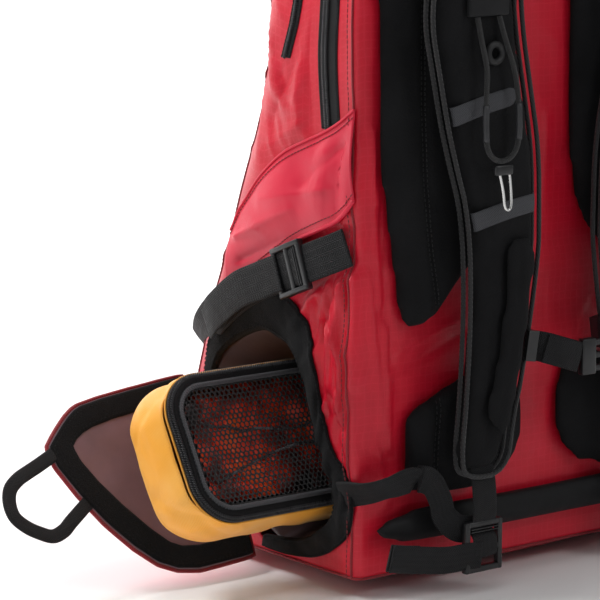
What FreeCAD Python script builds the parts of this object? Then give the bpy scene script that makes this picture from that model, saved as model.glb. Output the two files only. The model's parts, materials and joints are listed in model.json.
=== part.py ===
"""Ski backpack with a side pocket, a pull-out pouch and a shoulder harness.

Millimetres.  +Z is up, +X is the wearer's right (the pocket's side), +Y points to the wearer's back.
The pack is drawn with Y = 0 on its harness side, and stored with its origin at the centre of the flat
patch that it stands on.
"""
import FreeCAD
import Part
import math
import os

V = FreeCAD.Vector

# ---------------------------------------------------------------- driving dimensions
HALF_WIDTH = 149.0            # half the bag's width
BODY_TOP = 500.0              # height where the crowned top starts
CROWN_HEIGHT = 20.0           # rise of the crowned top
BASE_RISE = 12.0              # rise of the crowned bottom, from its flat patch to its edge
BASE_SHIFT = -80.0            # Y of the middle of the flat patch
PATCH_HALF_X = 95.0           # flat patch, half its width
PATCH_HALF_Y = 74.0           # flat patch, half its depth
DEPTH_LOW = 197.0             # bag depth at its foot
DEPTH_TOP = 90.0              # bag depth at the start of the crowned top
WALL = 2.5                    # cloth, foam and lining of the bag
FRONT_RADIUS_LOW = 26.0       # front corner radius at the foot
FRONT_RADIUS_TOP = 42.0       # front corner radius at the top
BACK_RADIUS = 9.0             # harness-side corner radius
BACK_STRIP = 10.0             # how far the harness-side panel wraps to the side seams
CLOTH = 1.0                   # one layer of coated cloth
TRIM = 1.5                    # doubled cloth and hook or loop tape
SEW_GAP = 0.3                 # clear gap between pieces of different bodies

PAD_THICKNESS = 13.0          # back pads
PAD_ROUND = 4.0               # rounding of the pads' outer edges
CHANNEL_HALF = 16.0           # half the width of the centre channel

WEB_WIDE = 25.0               # compression webbing width
WEB_NARROW = 20.0             # harness webbing width
WEB_THICK = 1.6               # webbing thickness

STRAP_BACK = 24.0             # Y of the shoulder strap's inner face
STRAP_THICKNESS = 12.0        # shoulder strap pad
STRAP_TOP = 468.0             # where the strap pad meets its anchor
STRAP_SWING_Y = 20.0          # strap hinge line
STRAP_SWING_Z = 474.0

POUCH_LENGTH = 200.0
POUCH_WIDTH = 104.0
POUCH_DEPTH = 56.0
POUCH_WALL = 2.0
POUCH_LID = 1.2               # mesh lid thickness
POUCH_CORNER = 30.0           # lid corner radius
POUCH_EDGE = 16.0             # radius along the pouch's bottom edges
POUCH_OUT = 96.0              # how far the pouch stands out of the bag's side
POUCH_TILT = -60.0            # turn of the pouch about X
POUCH_TOP_Y = -85.0           # upper edge of the pouch's lid
POUCH_TOP_Z = 145.0
LINER_GAP = 5.0               # pouch to pocket liner
LINER_END_GAP = 9.0           # pouch, pushed in, to the liner's far end
LINER_WALL = 1.2

HINGE_OUT = 3.0               # flap hinge line off the bag's side
HINGE_Y = -93.0               # lower end of the flap's hinge line
HINGE_Z = 13.0
HINGE_TILT = 123.5            # direction of the hinge line in the side plane, from +Y towards +Z
CLOSE_TURN = 90.0             # flap, from its open rest to closed
POUCH_PER_DEGREE = 1.9        # pouch travel for each degree of the flap

SHOCK_CORD = 3.5              # shock cord diameter
HOOK_WIRE = 2.0               # wire hook diameter
ARC_SHARE = 0.45              # arc radius as a share of the shorter run

# ---------------------------------------------------------------- outlines
# Height, front Y, corner radius: the bag's side view is read from these stations.
STATIONS = (
    (BASE_RISE, DEPTH_LOW - 10.0),
    (45.0, DEPTH_LOW),
    (110.0, DEPTH_LOW - 7.0),
    (165.0, DEPTH_LOW - 24.0),
    (220.0, DEPTH_LOW - 43.0),
    (300.0, DEPTH_LOW - 66.0),
    (365.0, DEPTH_LOW - 82.0),
    (440.0, DEPTH_TOP + 12.0),
    (BODY_TOP, DEPTH_TOP),
)

# Side pocket mouth in the side plane (Y, Z); the last stretch runs along the flap's hinge line.
MOUTH = ((-97, 24), (-60, 27), (-36, 39), (-22, 53), (-23, 68), (-31, 81), (-41, 99), (-51, 122),
         (-59, 142), (-69, 153), (-86, 159), (-104, 162), (-143, 142), (-157, 117))
LOOP_TAPE = ((-87, 14.5), (-48, 17), (-22, 26), (-5, 44), (-2, 66), (-11, 78), (-27, 94), (-36, 124),
             (-43, 156), (-47, 177), (-69, 186), (-93, 188), (-128, 178), (-158, 146), (-162, 119))
WING = ((-3, 313), (-21, 302), (-41, 294), (-70, 283), (-94, 264), (-108, 250), (-126, 232),
        (-137, 184), (-119, 192), (-94, 208), (-60, 226), (-39, 235), (-12, 245), (-3, 262))
MAIN_ZIP = ((-39, 306), (-40, 340), (-38, 400), (-32, 480), (-14, 480), (-19, 400), (-22, 340), (-20, 300))
FRONT_ZIP = ((-79, 342), (-64, 380), (-60, 450), (-52, 450), (-56, 380), (-71, 340))

# Flap, seen flat from its inner side: distance out from the hinge line, distance up along it.
FLAP = ((3, 0), (24, -2), (64, -4), (90, 9), (121, 50), (139, 94), (127, 106), (111, 119), (99, 124),
        (44, 130), (3, 133))
FLAP_INSIDE = ((20, 15), (58, 13), (74, 21), (103, 60), (119, 92), (110, 101), (93, 107), (44,
               113), (20, 115))
PULL_LOOP_OUT = ((141.2, 93.1), (176, 78), (182, 55), (168, 38), (149, 32), (123.2, 49.1))
PULL_LOOP_IN = ((143, 82), (166, 71), (171, 56), (161, 47), (150, 43), (133, 52))

# Harness side (X, Z), drawn for the wearer's right.
UPPER_PAD = ((145, 486), (145, 318), (143, 279), (137, 247), (131, 209), (122, 168), (106, 168), (85, 174),
             (68, 196), (42, 214), (CHANNEL_HALF, 252), (CHANNEL_HALF, 486))
LUMBAR_PAD = ((122, 119), (66, 144), (14, 150), (12, 59), (127, 59), (118, 78), (118, 103))
RAIL_LOW = (40.0, 138.0)      # straight inner edge of the strap, which the sternum keeper slides on
RAIL_HIGH = (27.0, 215.0)
STRAP = ((88, 468), (104, 432), (115, 400), (119, 370), (112, 338), (105, 305), (98, 280), (87, 246),
         (84, 193), (87, 127), (91, 93), (88, 76), (52, 76), (47, 114), RAIL_LOW, RAIL_HIGH, (27, 241),
         (28, 284), (36, 325), (44, 366), (46, 400), (40, 435), (34, 468))
SLEEVE = ((62, 235), (63, 192), (73, 136), (81, 117), (62, 97), (54, 104),
          (42.5, 150), (36, 190), (32.5, 232))
UPPER_BAND = ((101, 304), (49, 315), (49, 327), (104, 316))
LOWER_BAND = ((83, 236), (32, 245), (32, 257), (86, 248))

# Shock cord on the right shoulder strap: both ends come out of the tab on the strap.
CORD_ROUTE = ((86, 39, 372), (85, 42, 356), (81, 43.5, 340), (82.6, 44, 322), (83, 44.5, 304),
              (82.25, 44.5, 289),
              (74.5, 44.5, 281.2), (63.5, 44.5, 281.2), (55.75, 44.5, 289), (55, 44.5, 304),
              (55.5, 44, 322),
              (59, 43.5, 340), (65, 42, 356), (68, 39, 372))
HOOK_ROUTE = ((72.5, 44.5, 276.5), (68, 44.5, 264), (66.8, 44.5, 249.5), (61.0, 44.5, 249.5),
              (61.6, 44.5, 264),
              (63.5, 44.5, 276.5))

nodes = {}


# ---------------------------------------------------------------- shape helpers
def keep(name, shape):
    """Store one named piece; its solids are kept and nothing else."""
    solids = shape.Solids
    if not solids:
        raise ValueError(name + " has no solid")
    nodes[name] = solids[0] if len(solids) == 1 else Part.makeCompound(solids)
    return nodes[name]


def mirror(shape):
    """The same piece on the wearer's left."""
    return shape.mirror(V(0, 0, 0), V(1, 0, 0))


def block(low, high):
    """A plain box between two corners."""
    size = [top - bottom for bottom, top in zip(low, high)]
    return Part.makeBox(size[0], size[1], size[2], V(*low))


def prism(points, place, vector):
    """An outline of 2D points, placed by place(a, b), extruded along vector."""
    corners = [place(a, b) for a, b in points]
    wire = Part.makePolygon(corners + [corners[0]])
    return Part.Face(wire).extrude(vector)


def side_prism(points, x_low, x_high):
    """An outline in the side plane (Y, Z), from x_low to x_high."""
    return prism(points, lambda y, z: V(x_low, y, z), V(x_high - x_low, 0, 0))


def back_prism(points, y_low, y_high):
    """An outline in the harness plane (X, Z), from y_low to y_high."""
    return prism(points, lambda x, z: V(x, y_low, z), V(0, y_high - y_low, 0))


def flat_prism(points, z_low, z_high):
    """An outline in the XY plane, from z_low to z_high."""
    return prism(points, lambda x, y: V(x, y, z_low), V(0, 0, z_high - z_low))


def soften(shape, radius, direction, sign):
    """Round the edges of the face that looks along direction."""
    for face in shape.Faces:
        if face.normalAt(0, 0).dot(direction) * sign > 0.99:
            return shape.makeFillet(radius, face.Edges)
    raise ValueError("no face to soften")


def ribbon(stations, width, thick):
    """Webbing through stations of (point, width direction, thickness direction)."""
    wires = []
    for point, across, out in stations:
        centre = V(*point)
        half_w = V(*across).normalize() * (width / 2)
        half_t = V(*out).normalize() * (thick / 2)
        corners = [centre - half_w - half_t, centre + half_w - half_t,
                   centre + half_w + half_t, centre - half_w + half_t]
        wires.append(Part.makePolygon(corners + [corners[0]]))
    return Part.makeLoft(wires, True, True)


def tube(route, diameter, label):
    """A round cord along straight runs joined by tangent arcs."""
    points = [V(*p) for p in route]
    edges = []
    start = points[0]
    radii = []
    length = 0.0
    for before, corner, after in zip(points, points[1:], points[2:]):
        run_in = corner - before
        run_out = after - corner
        turn = run_in.getAngle(run_out)
        shorter = min(run_in.Length, run_out.Length)
        reach = ARC_SHARE * shorter
        radius = reach / math.tan(turn / 2)
        radii.append(radius)
        direction_in = V(run_in).normalize()
        direction_out = V(run_out).normalize()
        arc_start = corner - direction_in * reach
        arc_end = corner + direction_out * reach
        toward = (direction_out - direction_in).normalize()
        centre = corner + toward * (radius / math.cos(turn / 2))
        middle = centre - toward * radius
        edges.append(Part.LineSegment(start, arc_start).toShape())
        edges.append(Part.Arc(arc_start, middle, arc_end).toShape())
        length += (arc_start - start).Length + radius * turn
        start = arc_end
    edges.append(Part.LineSegment(start, points[-1]).toShape())
    length += (points[-1] - start).Length
    path = Part.Wire(edges)
    first_run = points[1] - points[0]
    ring = Part.Wire([Part.Circle(points[0], first_run, diameter / 2).toShape()])
    solid = path.makePipeShell([ring], True, False)
    expected = math.pi * diameter ** 2 / 4 * length
    print(label, "length", round(length, 1), "radii", [round(r, 1) for r in radii],
          "volume share", round(solid.Volume / expected, 4))
    return solid


# ---------------------------------------------------------------- bag body
def section(z, half_width, front, back, front_radius, back_radius):
    """One rounded outline of the bag at height z, starting at the front."""
    xw = half_width
    rf = front_radius
    rb = back_radius
    k = math.sqrt(0.5)

    def arc(ax, ay, mx, my, bx, by):
        return Part.Arc(V(ax, ay, z), V(mx, my, z), V(bx, by, z)).toShape()

    def line(ax, ay, bx, by):
        return Part.LineSegment(V(ax, ay, z), V(bx, by, z)).toShape()

    return Part.Wire([
        line(-xw + rf, front, xw - rf, front),
        arc(xw - rf, front, xw - rf + rf * k, front + rf - rf * k, xw, front + rf),
        line(xw, front + rf, xw, back - rb),
        arc(xw, back - rb, xw - rb + rb * k, back - rb + rb * k, xw - rb, back),
        line(xw - rb, back, -xw + rb, back),
        arc(-xw + rb, back, -xw + rb - rb * k, back - rb + rb * k, -xw, back - rb),
        line(-xw, back - rb, -xw, front + rf),
        arc(-xw, front + rf, -xw + rf - rf * k, front + rf - rf * k, -xw + rf, front),
    ])


def front_radius(z):
    share = min(1.0, max(0.0, (z - 160.0) / 120.0))
    return FRONT_RADIUS_LOW + (FRONT_RADIUS_TOP - FRONT_RADIUS_LOW) * share


def bag_solid(offset):
    """The bag's body, grown by offset (negative for the inside)."""
    wires = [section(-offset, PATCH_HALF_X + offset, BASE_SHIFT - PATCH_HALF_Y - offset,
                     BASE_SHIFT + PATCH_HALF_Y + offset, 20.0 + offset, BACK_RADIUS + offset)]
    last = len(STATIONS) - 1
    for index, (z, depth) in enumerate(STATIONS):
        lift = -offset if index == 0 else 0.0
        drop = offset if index == last else 0.0
        inset = 3.0 if index in (0, last) else 0.0
        wires.append(section(z + lift + drop, HALF_WIDTH - inset + offset, -depth - offset, -inset + offset,
                             front_radius(z) + offset, BACK_RADIUS + offset))
    wires.append(section(BODY_TOP + CROWN_HEIGHT + offset, HALF_WIDTH - 50.0 + offset,
                         -DEPTH_TOP + 20.0 - offset, -22.0 + offset, 20.0 + offset, BACK_RADIUS + offset))
    return Part.makeLoft(wires, True, True)


outer = bag_solid(0.0)
inner = bag_solid(-WALL)
far = 400.0
SEAM_LOW = BASE_RISE + 2.0
SEAM_HIGH = BODY_TOP - 14.0
shell = outer.cut(inner)
bottom_part = block((-far, -far, -5), (far, far, SEAM_LOW))
top_part = block((-far, -far, SEAM_HIGH), (far, far, 2 * far))
middle = shell.common(block((-far, -far, SEAM_LOW), (far, far, SEAM_HIGH)))

front_seam = [(-depth + front_radius(z), z) for z, depth in STATIONS]
front_seam[0] = (front_seam[0][0], SEAM_LOW - 5.0)
front_region = side_prism([(-far, SEAM_LOW - 5.0)] + front_seam + [(-far, BODY_TOP)], -far, far)
back_region = block((-far, -BACK_STRIP, -5), (far, far, far * 2))
side_region = middle.cut(front_region).cut(back_region)
mouth_hole = side_prism(MOUTH, HALF_WIDTH - 45.0, HALF_WIDTH + 20.0)

keep("bottom_panel", shell.common(bottom_part))
keep("top_panel", shell.common(top_part))
keep("front_panel", middle.common(front_region).cut(mouth_hole))
keep("back_panel", middle.common(back_region))
keep("side_panel_right", side_region.common(block((0, -far, 0), (far, far, far * 2))).cut(mouth_hole))
keep("side_panel_left", side_region.common(block((-far, -far, 0), (0, far, far * 2))))


def on_side(points, thick, lift=0.0):
    """A layer sewn on the outside of the bag, drawn in the side plane on the wearer's right."""
    skin = bag_solid(lift + thick).cut(bag_solid(lift))
    return skin.common(side_prism(points, 60.0, far))


wing = on_side(WING, TRIM)
keep("wing_panel_right", wing)
keep("wing_panel_left", mirror(wing))
keep("pocket_loop_tape", on_side(LOOP_TAPE, TRIM).cut(mouth_hole))
main_tape = on_side(MAIN_ZIP, CLOTH)
keep("main_zip_tape", main_tape.cut(wing))
keep("front_zip_tape", on_side(FRONT_ZIP, CLOTH))

# Frame sheet and stay inside the harness side.
SHEET_Y = -WALL - 4.0
SHEET_THICKNESS = 1.5
keep("frame_sheet", block((-120, SHEET_Y - SHEET_THICKNESS, 165), (120, SHEET_Y, 470)))
STAY_THICKNESS = 3.0
keep("aluminium_stay", block((-12.5, SHEET_Y - SHEET_THICKNESS - STAY_THICKNESS, 170),
                             (12.5, SHEET_Y - SHEET_THICKNESS, 465)))

# ---------------------------------------------------------------- harness side
PAD_BACK = 0.0


def pad(points, thickness):
    solid = back_prism(points, PAD_BACK, PAD_BACK + thickness)
    return soften(solid, PAD_ROUND, V(0, 1, 0), 1)


upper_pad = pad(UPPER_PAD, PAD_THICKNESS)
lumbar_pad = pad(LUMBAR_PAD, PAD_THICKNESS)
keep("upper_pad_right", upper_pad)
keep("upper_pad_left", mirror(upper_pad))
keep("lumbar_pad_right", lumbar_pad)
keep("lumbar_pad_left", mirror(lumbar_pad))
BAND_LOW = 31.0
BAND_HIGH = 57.0
BAND_THICKNESS = 15.0
BAND_HALF = HALF_WIDTH - 9.0
keep("waist_band", soften(block((-BAND_HALF, PAD_BACK, BAND_LOW),
                                 (BAND_HALF, PAD_BACK + BAND_THICKNESS, BAND_HIGH)),
                          PAD_ROUND, V(0, 1, 0), 1))

# ---------------------------------------------------------------- side pocket liner and pouch
POUCH_ORIGIN = V(0, POUCH_TOP_Y, POUCH_TOP_Z)
pouch_turn = FreeCAD.Placement(POUCH_ORIGIN, FreeCAD.Rotation(V(1, 0, 0), POUCH_TILT))
POUCH_END = HALF_WIDTH + POUCH_OUT
POUCH_START = POUCH_END - POUCH_LENGTH
POUCH_TRAVEL_IN = CLOSE_TURN * POUCH_PER_DEGREE


def tilted(shape):
    """Place a shape drawn in the pouch's own frame: Y across its lid, Z out of its lid."""
    placed = shape.copy()
    placed.Placement = pouch_turn.multiply(placed.Placement)
    return placed


def rounded_lid(x0, x1, y0, y1, z0, z1, corner):
    """A block with its four upright corners rounded."""
    solid = block((x0, y0, z0), (x1, y1, z1))
    upright = [e for e in solid.Edges if abs(e.Vertexes[0].Z - e.Vertexes[1].Z) > 0.5 * (z1 - z0)]
    return solid.makeFillet(corner, upright)


def pouch_block(inset, z_low, z_high, round_bottom):
    solid = rounded_lid(POUCH_START + inset, POUCH_END - inset, inset, POUCH_WIDTH - inset, z_low, z_high,
                        POUCH_CORNER - inset)
    if round_bottom:
        low_edges = [e for e in solid.Edges if max(v.Z for v in e.Vertexes) < z_low + 0.01]
        solid = solid.makeFillet(POUCH_EDGE - inset, low_edges)
    return solid


PIPING = 2.5
ZIP_BAND = 9.0
pouch_outside = pouch_block(PIPING, -POUCH_DEPTH, -PIPING, True)
pouch_inside = pouch_block(PIPING + POUCH_WALL, -POUCH_DEPTH + POUCH_WALL, 10.0, True)
walls = pouch_outside.cut(pouch_inside)
band_zone = block((-far, -far, -PIPING - ZIP_BAND), (far, far, 10))
keep("pouch_zip_band", tilted(walls.common(band_zone)))
keep("pouch_walls", tilted(walls.cut(band_zone)))
rim = pouch_block(0.0, -PIPING, 0.0, False).cut(pouch_block(PIPING + POUCH_WALL, -far, far, False))
keep("pouch_piping", tilted(rim))
lid = pouch_block(PIPING + POUCH_WALL, -PIPING, -PIPING + POUCH_LID, False)
keep("pouch_mesh_lid", tilted(lid))

liner_low = POUCH_START - POUCH_TRAVEL_IN - LINER_END_GAP
liner_high = HALF_WIDTH - WALL - 1.0
gap = LINER_GAP
liner_out = block((liner_low - LINER_WALL, -gap - LINER_WALL, -POUCH_DEPTH - gap - LINER_WALL),
                  (liner_high, POUCH_WIDTH + gap + LINER_WALL, gap + LINER_WALL))
liner_in = block((liner_low, -gap, -POUCH_DEPTH - gap), (far, POUCH_WIDTH + gap, gap))
keep("pocket_liner", tilted(liner_out.cut(liner_in)).common(bag_solid(-WALL - SEW_GAP)))

# ---------------------------------------------------------------- flap over the pocket
flap_turn = FreeCAD.Placement(V(HALF_WIDTH + HINGE_OUT, HINGE_Y, HINGE_Z),
                              FreeCAD.Rotation(V(1, 0, 0), HINGE_TILT))


def on_flap(points, layer_low, layer_high):
    shape = flat_prism(points, layer_low, layer_high)
    shape.Placement = flap_turn.multiply(shape.Placement)
    return shape


hook_tape = on_flap(FLAP, 0.0, TRIM).cut(on_flap(FLAP_INSIDE, -1.0, TRIM + 1.0))
keep("flap_hook_tape", hook_tape)
keep("flap_lining", on_flap(FLAP, TRIM, TRIM + CLOTH))
keep("flap_cloth", on_flap(FLAP, TRIM + CLOTH, TRIM + 2 * CLOTH))
keep("flap_pull_loop", on_flap(PULL_LOOP_OUT, 0.3, 3.2).cut(on_flap(PULL_LOOP_IN, -1.0, 5.0)))

# ---------------------------------------------------------------- compression straps
LOCK_OUT = 11.5               # middle of the lock off the bag's side
LOCK_CENTRE = V(HALF_WIDTH + LOCK_OUT, -54, 208.4)
LOCK_LENGTH = 30.0
LOCK_WIDTH = 33.0
LOCK_THICK = 5.0
STRAP_SLOPE = 21.0            # slope of the strap down towards the front, degrees
along = V(0, -math.cos(math.radians(STRAP_SLOPE)), -math.sin(math.radians(STRAP_SLOPE)))
across_web = (0, -along.z, along.y)
front_web = [
    ((HALF_WIDTH + LOCK_OUT, -69.6, 202.4), across_web, (1, 0, 0)),
    ((HALF_WIDTH + 12.0, -104, 188.6), across_web, (1, 0, 0)),
    ((HALF_WIDTH + 8.5, -138, 168.5), across_web, (1, -0.35, 0)),
    ((HALF_WIDTH - 3.0, -168, 152.0), across_web, (0.8, -0.8, 0)),
    ((HALF_WIDTH - 18.0, -185.5, 138.0), (0.5, -0.5, 0.9), (0.45, -0.9, -0.1)),
]
rear_web = [
    ((HALF_WIDTH + 11.3, -38.4, 214.4), across_web, (1, 0, 0)),
    ((HALF_WIDTH + 7.5, -26, 219.2), across_web, (1, 0.2, 0)),
    ((HALF_WIDTH + 2.5, -11.5, 225.5), across_web, (1, 0.1, 0)),
]


def lock_frame(length, width, thick, bar, bars):
    """A flat buckle frame with windows between its cross bars, drawn flat about the origin."""
    frame = block((-thick / 2, -length / 2, -width / 2), (thick / 2, length / 2, width / 2))
    pitch = (length - bar) / (bars - 1)
    for index in range(bars - 1):
        low = -length / 2 + bar + index * pitch
        window = block((-thick, low, -width / 2 + bar), (thick, low + pitch - bar, width / 2 - bar))
        frame = frame.cut(window)
    return frame


def placed_lock(frame, centre, turn):
    shape = frame.copy()
    shape.Placement = FreeCAD.Placement(centre, FreeCAD.Rotation(V(1, 0, 0), turn))
    return shape


compression_lock = placed_lock(lock_frame(LOCK_LENGTH, LOCK_WIDTH, LOCK_THICK, 4.0, 3),
                               LOCK_CENTRE, STRAP_SLOPE)
front_webbing = ribbon(front_web, WEB_WIDE, WEB_THICK)
rear_webbing = ribbon(rear_web, WEB_WIDE, WEB_THICK)
front_webbing = front_webbing.cut(compression_lock).cut(bag_solid(TRIM))
rear_webbing = rear_webbing.cut(compression_lock)
compression_webbing = Part.makeCompound([front_webbing, rear_webbing])
keep("compression_webbing_right", compression_webbing)
keep("compression_webbing_left", mirror(compression_webbing))
keep("compression_locks", Part.makeCompound([compression_lock, mirror(compression_lock)]))

# ---------------------------------------------------------------- shoulder straps
STRAP_FRONT = STRAP_BACK + STRAP_THICKNESS


def strap_layer(points, thickness, lift=0.0):
    return back_prism(points, STRAP_FRONT + lift, STRAP_FRONT + lift + thickness)


strap_pad = soften(back_prism(STRAP, STRAP_BACK, STRAP_FRONT), 3.0, V(0, 1, 0), 1)
sleeve = soften(strap_layer(SLEEVE, 8.0), 3.0, V(0, 1, 0), 1)
bands = Part.makeCompound([strap_layer(UPPER_BAND, 1.2), strap_layer(LOWER_BAND, 1.2).cut(sleeve)])
strap_anchor = block((40, PAD_BACK + PAD_THICKNESS, STRAP_SWING_Z + 4.0),
                     (84, PAD_BACK + PAD_THICKNESS + 3.0, STRAP_SWING_Z + 8.0))
anchor_web = block((36, STRAP_BACK, STRAP_TOP + SEW_GAP), (84, STRAP_BACK + 5.0, STRAP_SWING_Z + 3.0))

END_CENTRE_X = 70.0
LADDER_CENTRE = V(72.5, STRAP_BACK + 9.0, 30.5)
LADDER_LENGTH = 34.0
LADDER_WIDTH = 31.0
ladder_flat = lock_frame(LADDER_LENGTH, LADDER_WIDTH, 5.0, 4.0, 3)
ladder = ladder_flat.copy()
ladder.Placement = FreeCAD.Placement(LADDER_CENTRE, FreeCAD.Rotation(0, 0, 0, 1)).multiply(
    FreeCAD.Placement(V(0, 0, 0), FreeCAD.Rotation(V(0, 0, 1), 90)).multiply(
        FreeCAD.Placement(V(0, 0, 0), FreeCAD.Rotation(V(1, 0, 0), 90))))
end_web = ribbon([
    ((END_CENTRE_X, STRAP_BACK + 5, 75.7), (1, 0, 0), (0, 1, 0)),
    ((END_CENTRE_X + 1, STRAP_BACK + 7, 60), (1, 0, 0), (0, 1, 0)),
    ((END_CENTRE_X + 2, STRAP_BACK + 9, 47.8), (1, 0, 0), (0, 1, 0)),
], WEB_NARROW, WEB_THICK)
tail_web = ribbon([
    ((88.5, STRAP_BACK + 9, 26), (0, 0.1, 1), (0, 1, 0)),
    ((106, STRAP_BACK + 9, 26), (0, 0.1, 1), (0, 1, 0)),
    ((126, STRAP_BACK + 7, 29), (0, 0.1, 1), (0, 1, 0)),
    ((145, STRAP_BACK + 4, 32), (0, 0.1, 1), (0, 1, 0)),
], WEB_NARROW - 2.0, 4.0)
lower_web = ribbon([
    ((HALF_WIDTH + 1.2, -16, 66), (0, 0, 1), (1, 0, 0)),
    ((HALF_WIDTH + 1.4, -4, 69), (0, 0, 1), (1, 0, 0)),
    ((HALF_WIDTH - 1.0, 10, 72), (0, 0, 1), (1, 0.6, 0)),
    ((HALF_WIDTH - 11.0, 20, 76), (0, 0, 1), (0.4, 1, 0)),
    ((120, 21, 79), (0, 0, 1), (0, 1, 0)),
    ((106, 21, 75), (0.35, 0, 1), (0, 1, 0)),
    ((98.5, 22, 60), (0.95, 0, 0.4), (0, 1, 0)),
    ((98.5, 24, 48), (1, 0, 0.1), (0, 1, 0)),
], WEB_NARROW - 2.0, WEB_THICK)
for neighbour in (outer, lumbar_pad, nodes["waist_band"], nodes["pocket_loop_tape"]):
    lower_web = lower_web.cut(neighbour)

strap_pieces = {
    "strap_pad": strap_pad,
    "strap_bands": bands,
    "strap_webbing": Part.makeCompound([anchor_web, end_web.cut(ladder), tail_web.cut(ladder)]),
    "ladder_lock": ladder,
    "lower_webbing": lower_web,
}
for name, shape in strap_pieces.items():
    keep(name + "_right", shape)
    keep(name + "_left", mirror(shape))
keep("strap_anchors", Part.makeCompound([strap_anchor, mirror(strap_anchor)]))
keep("tube_sleeve", sleeve)

# Shock cord, its tab, its cord ring and its wire hook.
keep("cord_tab", strap_layer(((60, 372), (94, 372), (94, 392), (60, 392)), 5.0))
keep("shock_cord", tube(CORD_ROUTE, SHOCK_CORD, "shock_cord"))
ring_solid = Part.makeTorus(5.6, 2.2, V(71.5, STRAP_FRONT + 3.4, 349), V(0, 1, 0))
keep("cord_ring", ring_solid)
keep("wire_hook", tube(HOOK_ROUTE, HOOK_WIRE, "wire_hook"))

# ---------------------------------------------------------------- sternum strap
KEEPER_HEIGHT = 20.0
KEEPER_LIP = 3.2              # how far the keeper's lips reach over the strap
KEEPER_WALL = 2.0
KEEPER_Z = 158.0
rail_share = (KEEPER_Z - RAIL_LOW[1]) / (RAIL_HIGH[1] - RAIL_LOW[1])
KEEPER_X = RAIL_LOW[0] + rail_share * (RAIL_HIGH[0] - RAIL_LOW[0])
RAIL_LEAN = math.degrees(math.atan2(RAIL_HIGH[0] - RAIL_LOW[0], RAIL_HIGH[1] - RAIL_LOW[1]))
slot_back = STRAP_BACK - SEW_GAP
slot_front = STRAP_FRONT + SEW_GAP
keeper = block((-5.5, slot_back - KEEPER_WALL, -KEEPER_HEIGHT / 2),
               (KEEPER_LIP, slot_front + KEEPER_WALL, KEEPER_HEIGHT / 2))
keeper = keeper.cut(block((-SEW_GAP, slot_back, -KEEPER_HEIGHT), (20, slot_front, KEEPER_HEIGHT)))
keeper.Placement = FreeCAD.Placement(V(KEEPER_X, 0, KEEPER_Z), FreeCAD.Rotation(V(0, 1, 0), RAIL_LEAN))
keep("sternum_keeper_right", keeper)
keep("sternum_keeper_left", mirror(keeper))
BUCKLE_LENGTH = 26.0
BUCKLE_WIDTH = 25.0
BUCKLE_THICK = 6.0
KEEPER_END = KEEPER_X - 5.5   # the keeper's face towards the middle of the pack, at its mid height
WEB_END = -1.0                # where the right half's webbing meets its buckle
BUCKLE_Z = 147.0
web_front = STRAP_FRONT + 8.3
keep("sternum_webbing_right", ribbon([
    ((KEEPER_END + 0.4, 31, KEEPER_Z - 1.0), (0, 0, 1), (0, 1, 0)),
    ((24, 37, 155.5), (0, 0, 1), (0.3, 1, 0)),
    ((14, 41, 152.0), (0, 0, 1), (0, 1, 0)),
    ((5, 43, 149.0), (0, 0, 1), (0, 1, 0)),
    ((WEB_END, web_front, BUCKLE_Z), (0, 0, 1), (0, 1, 0)),
], WEB_NARROW, 3.2).cut(keeper))
male = soften(block((WEB_END - 0.1 - BUCKLE_LENGTH, web_front - 3.0, BUCKLE_Z - BUCKLE_WIDTH / 2),
                    (WEB_END - 0.1, web_front - 3.0 + BUCKLE_THICK, BUCKLE_Z + BUCKLE_WIDTH / 2)),
              2.0, V(0, 1, 0), 1)
keep("sternum_buckle_male", male)
lean = math.radians(RAIL_LEAN)
keeper_side = (-math.sin(lean), 0, math.cos(lean))
over_keeper = slot_front + KEEPER_WALL + 1.25
keep("sternum_webbing_left", ribbon([
    ((-KEEPER_END + 1.1, 31, KEEPER_Z), keeper_side, (1, 0, 0)),
    ((-KEEPER_END + 0.9, over_keeper - 2.0, KEEPER_Z - 0.5), keeper_side, (1, 0.5, 0)),
    ((-KEEPER_END - 3.0, over_keeper, KEEPER_Z - 2.0), keeper_side, (0, 1, 0)),
    ((-KEEPER_END - 12.0, over_keeper - 0.3, KEEPER_Z - 5.0), (-0.2, 0, 1), (0, 1, 0)),
    ((-KEEPER_END - 24.0, over_keeper - 0.6, KEEPER_Z - 9.0), (-0.3, 0, 1), (0, 1, 0)),
], WEB_NARROW, WEB_THICK).cut(mirror(keeper)))
female_top = -KEEPER_END - 24.5
female = soften(block((-BUCKLE_LENGTH - 4, -BUCKLE_THICK / 2, -BUCKLE_WIDTH / 2),
                      (0, BUCKLE_THICK / 2, BUCKLE_WIDTH / 2)),
                2.0, V(0, 1, 0), 1)
female.Placement = FreeCAD.Placement(V(female_top, STRAP_FRONT + 4.0, KEEPER_Z - 9.5),
                                     FreeCAD.Rotation(V(0, 1, 0), -17.0))
keep("sternum_buckle_female", female)

# ---------------------------------------------------------------- haul loop
HAUL_Z = BODY_TOP + CROWN_HEIGHT + 2.6
HAUL_Y = -45.0
haul_wires = []
for x, rise, width, turn in ((-30, 0, 5, 0), (-29, 14, 12, 0), (-22, 27, 20, 45), (0, 32, 22, 90),
                             (22, 27, 20, 135), (29, 14, 12, 180), (30, 0, 5, 180)):
    normal = V(-math.cos(math.radians(turn)), 0, math.sin(math.radians(turn)))
    centre = V(x, HAUL_Y, HAUL_Z + rise)
    side = V(0, width / 2, 0)
    half = normal * 1.5
    corners = [centre - side - half, centre + side - half, centre + side + half, centre - side + half]
    haul_wires.append(Part.makePolygon(corners + [corners[0]]))
keep("haul_loop", Part.makeLoft(haul_wires, True, True))

# ---------------------------------------------------------------- zip sliders and pulls
SLIDER_LONG = 12.0
SLIDER_WIDE = 8.0
SLIDER_HIGH = 3.6
PULL_LONG = 34.0
PULL_WIDE = 6.0
PULL_THICK = 2.4


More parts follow.
